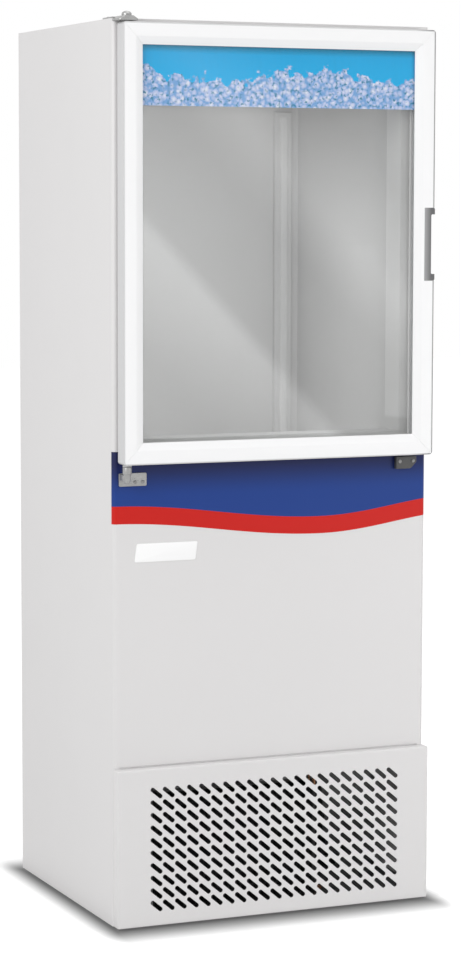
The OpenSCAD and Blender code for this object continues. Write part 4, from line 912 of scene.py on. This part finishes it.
cap_top = (cap_high.z - cap_low.z) / MM
dome = [(CAP_R * math.cos(a), cap_top - CAP_DOME + CAP_DOME * math.sin(a))
        for a in (math.radians(step) for step in range(0, 91, 10))]
cap = lathe("cap_nut_and_pin", (pin[0], pin[1], cap_low.z), "+Z",
            [(0, 0), (PIN_R - 1, 0), (PIN_R, 1), (PIN_R, arm_top), (CAP_R - CAP_EDGE, arm_top),
             (CAP_R, arm_top + CAP_EDGE)] + dome)
finish_piece(cap, "cabinet", "zinc_steel", zinc, "hinge_pin_top", smooth=40)

# %% [markdown]
# ## Bottom hinge
# A small plate is screwed to the front, and a web carries the knuckle under the door. The pin goes
# up through the knuckle into the door's bush, with its head below.

# %% Bottom hinge
knuckle_low, knuckle_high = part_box("hinge_bracket_bottom")
foot_low, foot_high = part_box("hinge_pin_bottom")
WEB_W, WEB_RISE, WEB_H, WEB_SINK, FRONT_W, FRONT_H = (v * MM for v in (16, 2, 12, 0.2, 65, 29))
FRONT_R, BRACKET_SOFT = 3 * MM, 0.5 * MM
KNUCKLE_R, KNUCKLE_L, WAIST_R, WAIST_H, FLARE_H, HEAD_R, HEAD_H, PIN_PLAY = 10, 32, 7.5, 13, 5, 6.5, 3, 0.1
plate_front = knuckle_high.y - PLATE_T
knuckle_z = knuckle_high.z - KNUCKLE_L * MM
plate = add_block("front_plate", (knuckle_high.x - FRONT_W, plate_front, knuckle_low.z),
                  (knuckle_high.x, knuckle_high.y, knuckle_low.z + FRONT_H))
round_edges(plate, FRONT_R, 5, lies(1))
web = add_block("web", (pin[0] - WEB_W / 2, pin[1], knuckle_z + WEB_RISE),
                (pin[0] + WEB_W / 2, plate_front + WEB_SINK, knuckle_z + WEB_RISE + WEB_H))
for part in (plate, web):
    soften(part, BRACKET_SOFT)
knuckle = lathe("knuckle", (pin[0], pin[1], knuckle_z), "+Z",
                [(PIN_R, 0), (WAIST_R - 1, 0), (WAIST_R, 1), (WAIST_R, WAIST_H)]
                + arc((KNUCKLE_R - 1, WAIST_H + FLARE_H), 1, -60, 0, 3)
                + arc((KNUCKLE_R - 1, KNUCKLE_L - 1), 1, 0, 90, 3) + [(PIN_R, KNUCKLE_L), (PIN_R, 0)])
bracket = join("bottom_bracket", [plate, web, knuckle])
finish_piece(bracket, "cabinet", "zinc_steel", zinc, "hinge_bracket_bottom")
pin_l = (foot_high.z - foot_low.z) / MM
foot_pin = lathe("bottom_pin", (pin[0], pin[1], foot_low.z), "+Z",
                 [(0, 0), (HEAD_R - 1, 0), (HEAD_R, CAP_EDGE), (HEAD_R, HEAD_H), (PIN_R - PIN_PLAY, HEAD_H),
                  (PIN_R - PIN_PLAY, pin_l - 1), (PIN_R - PIN_PLAY - 1, pin_l), (0, pin_l)])
finish_piece(foot_pin, "cabinet", "zinc_steel", zinc, "hinge_pin_bottom")

# %% [markdown]
# ## Hinge bushes
# Each bush is a moulded sleeve with a flange, pressed into the door. The lower flange carries the
# door's weight on the knuckle.

# %% Hinge bushes
bush_low, bush_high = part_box("hinge_bushes")
BORE_R, SLEEVE_R, FLANGE_R, FLANGE_EDGE, SEAT = 4.1, 7.0, 10.0, 0.6, 0.02


def bush(name, end, axis, flange):
    """A sleeve with a flange of this thickness, which sits a hair off the door's face."""
    return lathe(name, (pin[0], pin[1], end), axis,
                 [(BORE_R, -flange), (FLANGE_R - FLANGE_EDGE, -flange), (FLANGE_R, FLANGE_EDGE - flange),
                  (FLANGE_R, -SEAT), (SLEEVE_R, -SEAT), (SLEEVE_R, BUSH_HOLE_L), (BORE_R, BUSH_HOLE_L),
                  (BORE_R, -flange)], 40)


bushes = join("bushes", [bush("lower_bush", door_low.z, "+Z", (door_low.z - bush_low.z) / MM),
                         bush("upper_bush", door_high.z, "-Z", (bush_high.z - door_high.z) / MM)])
finish_piece(bushes, "door", "bush_plastic", bush_skin, "hinge_bushes")

# %% [markdown]
# ## Catch
# The catch keeps the free end of the door level with the cabinet. It is a dark moulding with a
# thinner ear on its right. The block is cut in two by bisect, and the wider part is drawn forward.

# %% Catch block
catch_low, catch_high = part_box("catch_block")
CATCH_W, EAR_D, EAR_CHAMFER, CATCH_SOFT = 35 * MM, 6 * MM, 14 * MM, 1.5 * MM
catch = add_block("catch", (catch_low.x, catch_high.y - EAR_D, catch_low.z), catch_high)
edit(catch)
bpy.ops.mesh.select_all(action="SELECT")
bpy.ops.mesh.bisect(plane_co=(catch_low.x + CATCH_W, 0, 0), plane_no=(1, 0, 0))
pick_faces(catch, lambda c, n: n.y < -0.9 and c.x < catch_low.x + CATCH_W)
draw_out((0, catch_low.y - catch_high.y + EAR_D, 0))
activate(catch)
round_edges(catch, EAR_CHAMFER, 1, lies(1, x=catch_high.x, z=catch_low.z))
soften(catch, CATCH_SOFT, 4)
finish_piece(catch, "cabinet", "catch_grey", catch_skin, "catch_block")

# %% [markdown]
# ## Screws
# Seven pan-head screws with a cross recess hold the hinges and the catch. One screw is turned and
# its recess is cut by two crossed blades. The others are copies with their own meshes, each turned
# and moved to its place.

# %% Screws
SCREW_R, SHANK_R, HEAD_RISE, SHANK_L, HEAD_RIM, CROWN_R = 4.0, 2.0, 2.5, 4.0, 0.9, 1.6
RECESS_L, RECESS_W, RECESS_FROM, RECESS_TO = 4.6, 0.9, Vector((0, 0, 1.1)), Vector((0, 0, 4))
head = [(SCREW_R, HEAD_RIM)] + arc((SCREW_R - 2.2, HEAD_RIM), CROWN_R, 30, 90, 5)
first = lathe("screw_0", (0, 0, 0), "+Z",
              [(0, -SHANK_L), (SHANK_R, -SHANK_L), (SHANK_R, 0), (SCREW_R, 0)] + head + [(0, HEAD_RISE)], 24)
for wide, deep in ((RECESS_L, RECESS_W), (RECESS_W, RECESS_L)):
    half = Vector((wide, deep, 0)) / 2
    cut_away(first, add_block("recess", (RECESS_FROM - half) * MM, (RECESS_TO + half) * MM))
SCREW_EDGE, SCREW_STEP, CATCH_DROP, TOP_EDGE, TOP_STEP = (v * MM for v in (9, 18, 11, 12, 24))
front_spots = [(knuckle_high.x - SCREW_EDGE, plate_front, knuckle_low.z + SCREW_EDGE),
               (knuckle_high.x - SCREW_EDGE - SCREW_STEP, plate_front, knuckle_low.z + SCREW_EDGE),
               (catch_low.x + SCREW_EDGE, catch_low.y, catch_high.z - CATCH_DROP),
               (catch_high.x - SCREW_EDGE, catch_high.y - EAR_D, catch_high.z - CATCH_DROP)]
top_spots = [(pin[0] - TOP_EDGE, top_high.y - TOP_EDGE, roof + PLATE_T),
             (pin[0] + TOP_EDGE, top_high.y - TOP_EDGE, roof + PLATE_T),
             (pin[0], top_high.y - TOP_EDGE - TOP_STEP, roof + PLATE_T)]
copies = [copy_to(first, "screw_f", spot, (90, 23 * i, 0)) for i, spot in enumerate(front_spots)]
copies += [copy_to(first, "screw_t", spot, (0, 0, 31 * i)) for i, spot in enumerate(top_spots)]
bpy.data.objects.remove(first)
screws = join("screws", copies)
finish_piece(screws, "cabinet", "zinc_steel", zinc, "panel_screws")

# %% [markdown]
# ## Door gasket
# The gasket is a hollow rubber ring round the back of the door, with a base, a neck and a soft bulb
# that meets the cabinet. A ring with mitred corners can be swept from its section: the section's
# loop is extruded from corner to corner, each time mirrored across the door.

# %% Sweep a section round the door
def swept_ring(name, section, half, mid, face):
    """Sweeps a closed section of (inset, depth) in millimetres round a rectangle of half sizes."""
    piece = add_chain(name, [(-half[0] + u * MM, face + v * MM, mid - half[1] + u * MM)
                             for u, v in section + section[:1]])
    bpy.ops.mesh.remove_doubles(threshold=1e-6)
    for flip in ((-1, 1, 1), (1, 1, -1), (-1, 1, 1), (1, 1, -1)):
        draw_out()
        resize(flip, (0, 0, mid))
    weld()
    activate(piece)
    return piece


seal_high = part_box("door_gasket")[1]
U0, U1, BULB_R, SEAL_END = 16, 36, 1.6, (seal_high.y - door_high.y) / MM
section = [(U0, 0), (U1, 0), (U1, 2.2), (U1 - 1, 3), (U1 - 4, 3), (U1 - 4, SEAL_END - 4),
           (U1 - 2.4, SEAL_END - 4)] + arc((U1 - 2.6, SEAL_END - 2), BULB_R, -60, 60, 4) \
    + [(U1 - 4, SEAL_END), (U0 + 4, SEAL_END)] + arc((U0 + 2.6, SEAL_END - 2), BULB_R, 120, 240, 4) \
    + [(U0 + 2.4, SEAL_END - 4), (U0 + 4, SEAL_END - 4), (U0 + 4, 3), (U0 + 1, 3), (U0, 2.2)]
gasket = swept_ring("gasket", section, (door_high.x, half_z), door_mid.z, door_high.y)
finish_piece(gasket, "door", "gasket_grey", gasket_skin, "door_gasket", smooth=50)

# %% [markdown]
# ## Lamp
# An LED strip stands in the rear right corner. Its housing is an extruded channel with end caps,
# and a frosted cover clips into the channel.

# %% Lamp housing and diffuser
HOUSING_R, HOUSING_SOFT, COVER_R = 4 * MM, 0.5 * MM, 2.4 * MM
lamp_low, lamp_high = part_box("lamp_housing")
cover_low, cover_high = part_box("lamp_diffuser")
housing = add_block("lamp_body", lamp_low, lamp_high)
round_edges(housing, HOUSING_R, 4, lies(2, y=lamp_low.y))
cut_away(housing, add_block("channel", (cover_low.x, lamp_low.y - CUT_PAST, cover_low.z), cover_high))
soften(housing, HOUSING_SOFT, 2)
finish_piece(housing, "cabinet", "lamp_white", lamp_skin, "lamp_housing")
cover = add_block("lamp_cover", cover_low, cover_high)
round_edges(cover, COVER_R, 5, lies(2, y=cover_low.y))
finish_piece(cover, "cabinet", "diffuser_white", diffuser, "lamp_diffuser")

# %% [markdown]
# ## Fans
# Both fans have five twisted blades on a cup-shaped hub. One blade is a thin plate that is
# twisted, pitched and trimmed round at its tip, and the other four are copies turned about the
# shaft.

# %% Fans
HUB_R, BLADE_L, BLADE_T, BLADE_PITCH, BLADE_TWIST, BLADES = 24, 52, 1.8, 30, -16, 5
BLADE_ROOT, CUP_R, SHAFT_R, RIM_GAP, RIM_W = 4, 4, 3, 0.5, 60
COLD_R, COLD_DEPTH, WARM_R, WARM_DEPTH = 82, 24, 92, 26


def fan(name, centre, axis, radius, depth, shaft_l):
    """A fan about an axis, with its depth and the shaft's length in millimetres."""
    span = (radius - HUB_R + BLADE_ROOT) * MM
    activate(None)
    bpy.ops.mesh.primitive_grid_add(x_subdivisions=8, y_subdivisions=6, size=1)
    blade = named("blade")
    blade.scale = (span, BLADE_L * MM, 1)
    settle()
    modify(blade, "SIMPLE_DEFORM", deform_method="TWIST", deform_axis="X", angle=math.radians(BLADE_TWIST))
    blade.rotation_euler = (math.radians(BLADE_PITCH), 0, 0)
    blade.location = ((HUB_R - BLADE_ROOT) * MM + span / 2, 0, depth / 2 * MM)
    settle()
    modify(blade, "SOLIDIFY", thickness=BLADE_T * MM, offset=0)
    low, high = RIM_GAP, depth - RIM_GAP
    cut_away(blade, lathe("rim", (0, 0, 0), "+Z", [(radius, low), (radius, high), (radius + RIM_W, high),
                                                   (radius + RIM_W, low), (radius, low)], 64))
    others = [copy_to(blade, "blade", turn=(0, 0, 360 / BLADES * number)) for number in range(1, BLADES)]
    hub = lathe("hub", (0, 0, 0), "+Z",
                [(0, 0)] + arc((HUB_R - CUP_R, CUP_R), CUP_R, -90, 0, 4)
                + [(HUB_R, depth), (SHAFT_R, depth), (SHAFT_R, depth + shaft_l), (0, depth + shaft_l)])
    piece = join(name, [hub, blade] + others)
    piece.rotation_euler = TURN_TO[axis]
    piece.location = centre
    activate(piece)
    settle()
    return piece


fan_low, fan_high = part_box("evaporator_fan")
fan_mid = (fan_low + fan_high) / 2
shaft_l = (fan_high.z - fan_low.z) / MM - COLD_DEPTH
blow = fan("cold_fan", (0, fan_mid.y, fan_low.z), "+Z", COLD_R, COLD_DEPTH, shaft_l)
finish_piece(blow, "evaporator_rotor", "fan_white", fan_plastic, "evaporator_fan")
fan_low, fan_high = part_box("condenser_fan")
fan_mid = (fan_low + fan_high) / 2
shaft_l = (fan_high.y - fan_low.y) / MM - WARM_DEPTH
draw = fan("warm_fan", (fan_mid.x, fan_low.y, fan_mid.z), "+Y", WARM_R, WARM_DEPTH, shaft_l)
finish_piece(draw, "condenser_rotor", "fan_aluminium", aluminium, "condenser_fan")

# %% [markdown]
# ## Compressor
# The compressor is two drawn steel cups welded round the middle, on a stamped base plate. The
# shell is turned, the base plate is a bevelled block with round holes for the rubber mounts, and a
# black cover hides the terminals.

# %% Compressor and its mounts
COMP_R, COMP_H, SHOULDER, FEET_RISE, BASE_T, BASE_PAST = 85, 180, 30, 18, 3, 18
SEAM_W, SEAM_H, SEAM_SLOPE, BASE_R, BOX_HALF, BOX_D, BOX_H, BOX_R = 5, 3.2, 0.8, 14, 28, 44, 60, 4
MOUNT_X, MOUNT_Y, MOUNT_R, STUB_X, STUB_Y, STUB_H, STUB_R = 85, 60, 7, 30, 40, 20, 6
mount_low, mount_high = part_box("compressor_mounts")
motor_at = (mount_low + mount_high) / 2
feet_z = mount_low.z + FEET_RISE * MM
shell = lathe("shell", (motor_at.x, motor_at.y, feet_z), "+Z",
              [(0, 0)] + arc((COMP_R - SHOULDER, SHOULDER), SHOULDER, -90, 0, 8)
              + [(COMP_R, COMP_H / 2 - SEAM_H - SEAM_SLOPE), (COMP_R + SEAM_W, COMP_H / 2 - SEAM_H),
                 (COMP_R + SEAM_W, COMP_H / 2 + SEAM_H), (COMP_R, COMP_H / 2 + SEAM_H + SEAM_SLOPE)]
              + arc((COMP_R - SHOULDER, COMP_H - SHOULDER), SHOULDER, 0, 90, 8) + [(0, COMP_H)], 64)
motor_foot = Vector((motor_at.x, motor_at.y, feet_z))
base_half = Vector((MOUNT_X + BASE_PAST, MOUNT_Y + BASE_PAST, 0)) * MM
base = add_block("base_plate", motor_foot - base_half, motor_foot + base_half + Vector((0, 0, BASE_T * MM)))
round_edges(base, BASE_R * MM, 6, lies(2))
corners = [(motor_at.x + sx * MOUNT_X * MM, motor_at.y + sy * MOUNT_Y * MM)
           for sx in (-1, 1) for sy in (-1, 1)]
for x, y in corners:
    drill(base, (x, y, feet_z), "+Z", MOUNT_R + 0.2, -2, 6, 24)
shell_x = motor_at.x - COMP_R * MM
cover = add_block("terminal_cover", (shell_x - BOX_D / 2 * MM, motor_at.y - BOX_HALF * MM,
                                     feet_z + (COMP_H / 2 - BOX_H) * MM),
                  (shell_x + BOX_D / 2 * MM, motor_at.y + BOX_HALF * MM, feet_z + COMP_H / 2 * MM))
round_edges(cover, BOX_R * MM, 4, lambda a, b: max(a.x, b.x) < shell_x)
stubs = [lathe("stub", (motor_at.x + side * STUB_X * MM, motor_at.y + STUB_Y * MM, feet_z), "+Z",
               [(0, COMP_H - 2 * STUB_H), (STUB_R, COMP_H - 2 * STUB_H), (STUB_R, COMP_H + 4),
                (STUB_R - 1.2, COMP_H + 7), (STUB_R - 1.2, COMP_H + STUB_H), (0, COMP_H + STUB_H)], 24)
         for side in (-1, 1)]
pump = join("compressor_shell", [shell, base, cover] + stubs)
finish_piece(pump, "cabinet", "compressor_black", black_paint, "compressor")
mount_l = (mount_high.z - mount_low.z) / MM
neck_from, neck_to = FEET_RISE - SEAT, FEET_RISE + BASE_T + SEAT
ribs = [(11.5 + 1.5 * (i % 2), 3 + 3.2 * i) for i in range(5)]
grommets = [lathe("grommet", (x, y, mount_low.z), "+Z",
                  [(0, 0), (14, 0), (14, 1)] + ribs + [(13, neck_from), (MOUNT_R - 0.1, neck_from),
                   (MOUNT_R - 0.1, neck_to), (12, neck_to), (12, mount_l - 1.5), (10.5, mount_l),
                   (0, mount_l)], 32) for x, y in corners]
finish_piece(join("rubber_mounts", grommets), "cabinet", "rubber_black", rubber, "compressor_mounts")

# %% [markdown]
# ## Pipes
# Copper lines join the compressor, the condenser, the drier and the evaporator, and a plastic tube
# takes the melt water down behind the insulation to the tray. The corners of each route are
# rounded to a bending tool's radius.

# %% Refrigerant lines and drier
line_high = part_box("refrigerant_lines")[1]
drier_low, drier_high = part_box("filter_drier")
coil_low, coil_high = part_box("condenser_coil")
cold_low, cold_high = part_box("evaporator_coil")
tube_low, tube_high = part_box("drain_tube")
deck_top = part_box("machine_deck")[1].z
LINE_D, BEND_R, SIDE_GAP, ROW_IN, RISE_IN, END_IN = (v * MM for v in (8, 14, 10, 45, 40, 1))
HOT_DROP, THIN_DROP, COLD_DROP, THIN_SHORT = (v * MM for v in (60, 75, 30, 20))
COIL_ROWS, DRIER_D, DRIER_CONE = 8, 26, 14
drier = (drier_low + drier_high) / 2
out_z = feet_z + (COMP_H + STUB_H) * MM
stub_y = motor_at.y + STUB_Y * MM
hot_x, suction_x = motor_at.x + STUB_X * MM, motor_at.x - STUB_X * MM
row_y, beside_x = coil_low.y + ROW_IN, coil_high.x + SIDE_GAP
half_row = (coil_high.z - coil_low.z) / COIL_ROWS / 2
in_z, return_z = coil_high.z - half_row, coil_low.z + half_row
rise_y, rise_x = line_high.y - LINE_D / 2, cold_low.x + RISE_IN
hot_z, thin_z, cold_z = deck_top - HOT_DROP, deck_top - THIN_DROP, deck_top - COLD_DROP
lines = [
    pipe("hot_line", [(hot_x, stub_y, out_z), (hot_x, stub_y, hot_z), (hot_x, row_y, hot_z),
                      (beside_x, row_y, hot_z), (beside_x, row_y, in_z), (coil_high.x, row_y, in_z)],
         LINE_D, BEND_R),
    pipe("liquid_line", [(coil_high.x, row_y, return_z), (drier.x, row_y, return_z),
                         (drier.x, drier.y, return_z), (drier.x, drier.y, drier_low.z + END_IN)],
         LINE_D, BEND_R),
    pipe("thin_line", [(drier.x, drier.y, drier_high.z - END_IN), (drier.x, drier.y, thin_z),
                       (rise_x - THIN_SHORT, drier.y, thin_z)], LINE_D / 2, BEND_R),
    pipe("suction_line", [(suction_x, stub_y, out_z), (suction_x, stub_y, cold_z), (rise_x, stub_y, cold_z),
                          (rise_x, rise_y, cold_z), (rise_x, rise_y, line_high.z - LINE_D / 2),
                          (rise_x, cold_high.y, line_high.z - LINE_D / 2)], LINE_D, BEND_R)]
finish_piece(join("copper_lines", lines), "cabinet", "copper_tube", copper, "refrigerant_lines")
drier_l = (drier_high.z - drier_low.z) / MM
half_drier = [(0, 0), (4.4, 0), (4.8, 2), (7, 7), (DRIER_D / 2 - 1, DRIER_CONE),
              (DRIER_D / 2, DRIER_CONE + 4)]
swaged = lathe("drier_body", (drier.x, drier.y, drier_low.z), "+Z",
               half_drier + [(r, drier_l - h) for r, h in reversed(half_drier)], 32)
finish_piece(swaged, "cabinet", "copper_tube", copper, "filter_drier")

# %% Drain tube
TUBE_D, TUBE_DROP, TUBE_BEND = 16 * MM, 40 * MM, 20 * MM
drop_z = deck_top - TUBE_DROP
back_y, fall_y = tube_high.y - TUBE_D / 2, tube_low.y + TUBE_D / 2
tube = pipe("drain_hose", [(0, back_y, tube_high.z - TUBE_D / 4), (0, back_y, drop_z), (0, fall_y, drop_z),
                           (0, fall_y, tube_low.z)], TUBE_D, TUBE_BEND, 12)
finish_piece(tube, "cabinet", "tray_plastic", tray_skin, "drain_tube")

# %% [markdown]
# ## Feet, gland and knob
# Small turned pieces finish the machine compartment: four screwed feet under the base, the gland
# that clamps the supply cord in the rear grille, and the knob of the thermostat.

# %% Levelling feet
foot_low, foot_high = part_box("levelling_feet")
FOOT_R, FOOT_GAP, STUD_R, THREAD, THREAD_DEEP = 22, 6, 4.8, 0.75, 0.5
stud_l = (foot_high.z - foot_low.z) / MM
threads = [(STUD_R - THREAD_DEEP * (i % 2), FOOT_GAP + 0.6 + THREAD * i)
           for i in range(int((stud_l - FOOT_GAP - 1) / THREAD))]
feet = [lathe("foot", (x, y, foot_low.z), "+Z",
              [(0, 0), (FOOT_R - 1, 0), (FOOT_R, 1), (FOOT_R, 2.2), (FOOT_R - 6, 3.2), (15, FOOT_GAP - SEAT),
               (STUD_R, FOOT_GAP - SEAT)] + threads + [(0, stud_l)], 36)
        for x in (foot_low.x + FOOT_R * MM, foot_high.x - FOOT_R * MM)
        for y in (foot_low.y + FOOT_R * MM, foot_high.y - FOOT_R * MM)]
finish_piece(join("feet", feet), "cabinet", "rubber_black", rubber, "levelling_feet")

# %% Cable gland
gland_low, gland_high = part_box("cable_gland")
gland = (gland_low + gland_high) / 2
grille_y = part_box("rear_grille")[1].y
GLAND_BORE, GLAND_R, NECK_R, NUT_R, NUT_T, NUT_GAP, NUT_SOFT = 4.5, 11, 8, 12, 6, 1.25, 0.8
head_l, neck_l = (gland_high.y - grille_y) / MM, (grille_y - gland_low.y) / MM
body = lathe("gland_body", (gland.x, grille_y, gland.z), "+Y",
             [(GLAND_BORE, -neck_l), (NECK_R, -neck_l), (NECK_R, SEAT), (GLAND_R, SEAT), (GLAND_R, 4),
              (GLAND_R - 1, 5)] + arc((GLAND_R - 5, head_l - 5), 4.5, 0, 80, 6)
             + [(GLAND_BORE, head_l), (GLAND_BORE, -neck_l)], 40)
activate(None)
bpy.ops.mesh.primitive_cylinder_add(vertices=6, radius=NUT_R * MM, depth=NUT_T * MM,
                                    location=(gland.x, grille_y - (NUT_T / 2 + NUT_GAP) * MM, gland.z),
                                    rotation=FACING)
nut = named("nut")
settle()
modify(nut, "BEVEL", width=NUT_SOFT * MM, segments=2)
drill(nut, (gland.x, gland_low.y, gland.z), "+Y", NECK_R - 0.2, -5, 20)
finish_piece(join("gland", [body, nut]), "cabinet", "knob_black", knob_skin, "cable_gland")

# %% Thermostat knob
dial_low, dial_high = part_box("thermostat_knob")
dial = (dial_low + dial_high) / 2
KNOB_R, KNOB_H, SPINDLE_R, FLUTES, FLUTE_R, FLUTE_OUT = 19, 18, 3, 12, 2.4, 0.6
POINTER_HALF, POINTER_DEEP, POINTER_FROM = 1 * MM, 1.2 * MM, 6 * MM
knob_l = (dial_high.y - dial_low.y) / MM
knob = lathe("dial", (dial.x, dial_low.y, dial.z), "+Y",
             [(0, 0), (KNOB_R - 4, 0), (KNOB_R - 2.5, 1.2), (KNOB_R - 1.5, KNOB_H - 4), (KNOB_R, KNOB_H - 3),
              (KNOB_R, KNOB_H), (SPINDLE_R, KNOB_H), (SPINDLE_R, knob_l), (0, knob_l)], 72)
ring = (KNOB_R + FLUTE_OUT) * MM
tools = [lathe("flute", (dial.x + ring * math.cos(a), dial_low.y, dial.z + ring * math.sin(a)), "+Y",
               [(0, -1), (FLUTE_R, -1), (FLUTE_R, KNOB_H - 5), (0, KNOB_H - 3.5)], 16)
         for a in (math.radians(360 / FLUTES * (i + 0.5)) for i in range(FLUTES))]
cut_away(knob, join("flutes", tools))
cut_away(knob, add_block("pointer", (dial.x - POINTER_HALF, dial_low.y - CUT_PAST, dial.z + POINTER_FROM),
                         (dial.x + POINTER_HALF, dial_low.y + POINTER_DEEP, dial_high.z + CUT_PAST)))
finish_piece(knob, "thermostat_dial", "knob_black", knob_skin, "thermostat_knob")

# %% [markdown]
# ## Stage and light
# The floor is pale and keeps the object's shadow, and its own material darkens softly toward the
# foot of the cabinet, where no light gets in. The camera, mirrors and glass see a white surround
# through Light Path, while the diffuse light on the object comes from a weaker sky, three large
# soft boxes and two small lamps inside. So a white background adds no light to the object.

# %% Floor
FLOOR_GLOW = 0.55
SHADE_DEEP, SHADE_IN, SHADE_OUT, SHADE_STRETCH = 0.86, 8 * MM, 70 * MM, 0.45
floor_skin, tree, shader = new_material("floor_paper")
foot_low, foot_high = kick_low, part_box("side_panel_right")[1]
foot_mid = (foot_low + foot_high) / 2


def seen_directly(tree):
    """1 for camera, mirror and glass rays and 0 for the diffuse light that reaches the object."""
    ray = node(tree, "LightPath").outputs
    return maths(tree, "MAXIMUM", maths(tree, "MAXIMUM", ray["Is Camera Ray"], ray["Is Glossy Ray"]),
                 ray["Is Transmission Ray"])


def emission(tree, level):
    return node(tree, "Emission", {"Strength": level}).outputs["Emission"]


by_camera = node(tree, "LightPath").outputs["Is Camera Ray"]
feed(tree, shader, {"Base Color": (0.80, 0.80, 0.80, 1), "Roughness": 0.9, "Specular IOR Level": 0.0,
                    "Emission Color": (1, 1, 1, 1),
                    "Emission Strength": maths(tree, "MULTIPLY", by_camera, FLOOR_GLOW)})
by_mirror = maths(tree, "SUBTRACT", seen_directly(tree), by_camera)
paper = mix_shaders(tree, by_mirror, shader.outputs["BSDF"], emission(tree, 1.0))
offset = vectors(tree, "SUBTRACT", object_place(tree), (foot_mid.x, foot_mid.y, 0))
beyond = vectors(tree, "SUBTRACT", vectors(tree, "ABSOLUTE", offset), (foot_high - foot_low) / 2)
outside = vectors(tree, "MULTIPLY", vectors(tree, "MAXIMUM", beyond, (0, 0, 0)), (1, SHADE_STRETCH, 0))
reach = node(tree, "VectorMath", {0: outside}, operation="LENGTH").outputs["Value"]
shade = scaled(tree, reach, SHADE_DEEP, 0.0, -SHADE_IN, SHADE_OUT, "SMOOTHSTEP")
shown = maths(tree, "MULTIPLY", shade, seen_directly(tree))
feed(tree, tree.nodes["Material Output"], {"Surface": mix_shaders(tree, shown, paper, emission(tree, 0.0))})
activate(None)
bpy.ops.mesh.primitive_plane_add(size=40, location=(0, 0, 0))
floor = named("floor")
floor.data.materials.append(floor_skin)

# %% World and lamps
SKY = 0.62
world = bpy.context.scene.world or bpy.data.worlds.new("studio")
bpy.context.scene.world = world
world.use_nodes = True
tree = world.node_tree
tree.nodes.clear()
strength = scaled(tree, seen_directly(tree), SKY, 1.0, 0, 1)
sky = node(tree, "Background", {"Color": (1, 1, 1, 1), "Strength": strength})
node(tree, "OutputWorld", {"Surface": sky.outputs["Background"]})


def soft_box(name, place, target, width, height, watts):
    """A rectangular lamp that the camera doesn't see."""
    lamp = bpy.data.lights.new(name, "AREA")
    lamp.shape = "RECTANGLE"
    lamp.size, lamp.size_y, lamp.energy = width, height, watts
    holder = bpy.data.objects.new(name, lamp)
    bpy.context.scene.collection.objects.link(holder)
    aim = (Vector(target) - Vector(place)).to_track_quat("-Z", "Y").to_matrix().to_4x4()
    holder.matrix_world = Matrix.Translation(place) @ aim
    holder.visible_camera = False
    return holder


soft_box("key", (-4.1, -2.4, 3.0), (0, -0.3, 1.45), 2.2, 2.4, 105)
fill = soft_box("fill", (2.7, -3.0, 1.0), (0.2, -0.3, 0.45), 1.6, 2.0, 39)
soft_box("overhead", (0.2, -0.6, 4.6), (0, -0.1, 1.0), 2.4, 2.4, 35)
CABIN_X, BIN_GAP, BIN_DROP, BIN_AIM = -60 * MM, 10 * MM, 140 * MM, (300 * MM, 40 * MM)
throat_low, throat_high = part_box("throat_frame")
throat_z = (throat_low.z + throat_high.z) / 2
cabin = soft_box("cabin", (CABIN_X, throat_low.y, throat_z), (CABIN_X, 0, throat_z), 0.45, 0.85, 1.45)
cabin.data.spread = math.radians(150)
bin_from = Vector((0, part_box("liner_front")[1].y + BIN_GAP, throat_low.z - BIN_DROP))
bin_lamp = soft_box("bin", bin_from, (0, BIN_AIM[0], bin_from.z + BIN_AIM[1]), 0.50, 0.20, 0.55)
for lamp in (fill, cabin, bin_lamp):
    lamp.visible_glossy = False
    lamp.visible_transmission = False
bpy.context.scene.view_settings.view_transform = "Standard"

# %% [markdown]
# ### Light card
# Glass shows mostly what it mirrors. In the studio a tall window lights the room, and the door
# mirrors it as two slanted, soft bands. Here a card in front of the freezer glows in two bands.
# Only mirror and glass rays see it, so it adds nothing to the light on the paint.

# %% Light card
CARD_SIZE, CARD_AT, CARD_SLOPE, CARD_GLOW = 2.4, (1.7, -4.0, 1.35), 1.03, 0.85
BAND_FROM, BAND_TO = 2.2, 3.9
BAND_LEVELS = ((0.03, 0.0), (0.285, 1.0), (0.33, 0.0), (0.60, 0.0), (0.755, 0.85), (0.98, 0.0))
activate(None)
bpy.ops.mesh.primitive_plane_add(size=CARD_SIZE, location=CARD_AT, rotation=FACING)
card = named("light_card")
settle()
card_skin, tree, shader = new_material("light_card")
tree.nodes.clear()
spot = parts_of(tree, object_place(tree))
across = maths(tree, "MULTIPLY_ADD", spot["X"], CARD_SLOPE, spot["Z"])
bands = ramp(tree, scaled(tree, across, 0, 1, BAND_FROM, BAND_TO),
             *((position, (level, level, level, 1)) for position, level in BAND_LEVELS))
glow = node(tree, "Emission", {"Strength": CARD_GLOW, "Color": bands})
clear = node(tree, "BsdfTransparent")
both = node(tree, "AddShader", {0: glow.outputs["Emission"], 1: clear.outputs["BSDF"]})
node(tree, "OutputMaterial", {"Surface": both.outputs["Shader"]})
card.data.materials.append(card_skin)
card.visible_camera = card.visible_diffuse = card.visible_shadow = False
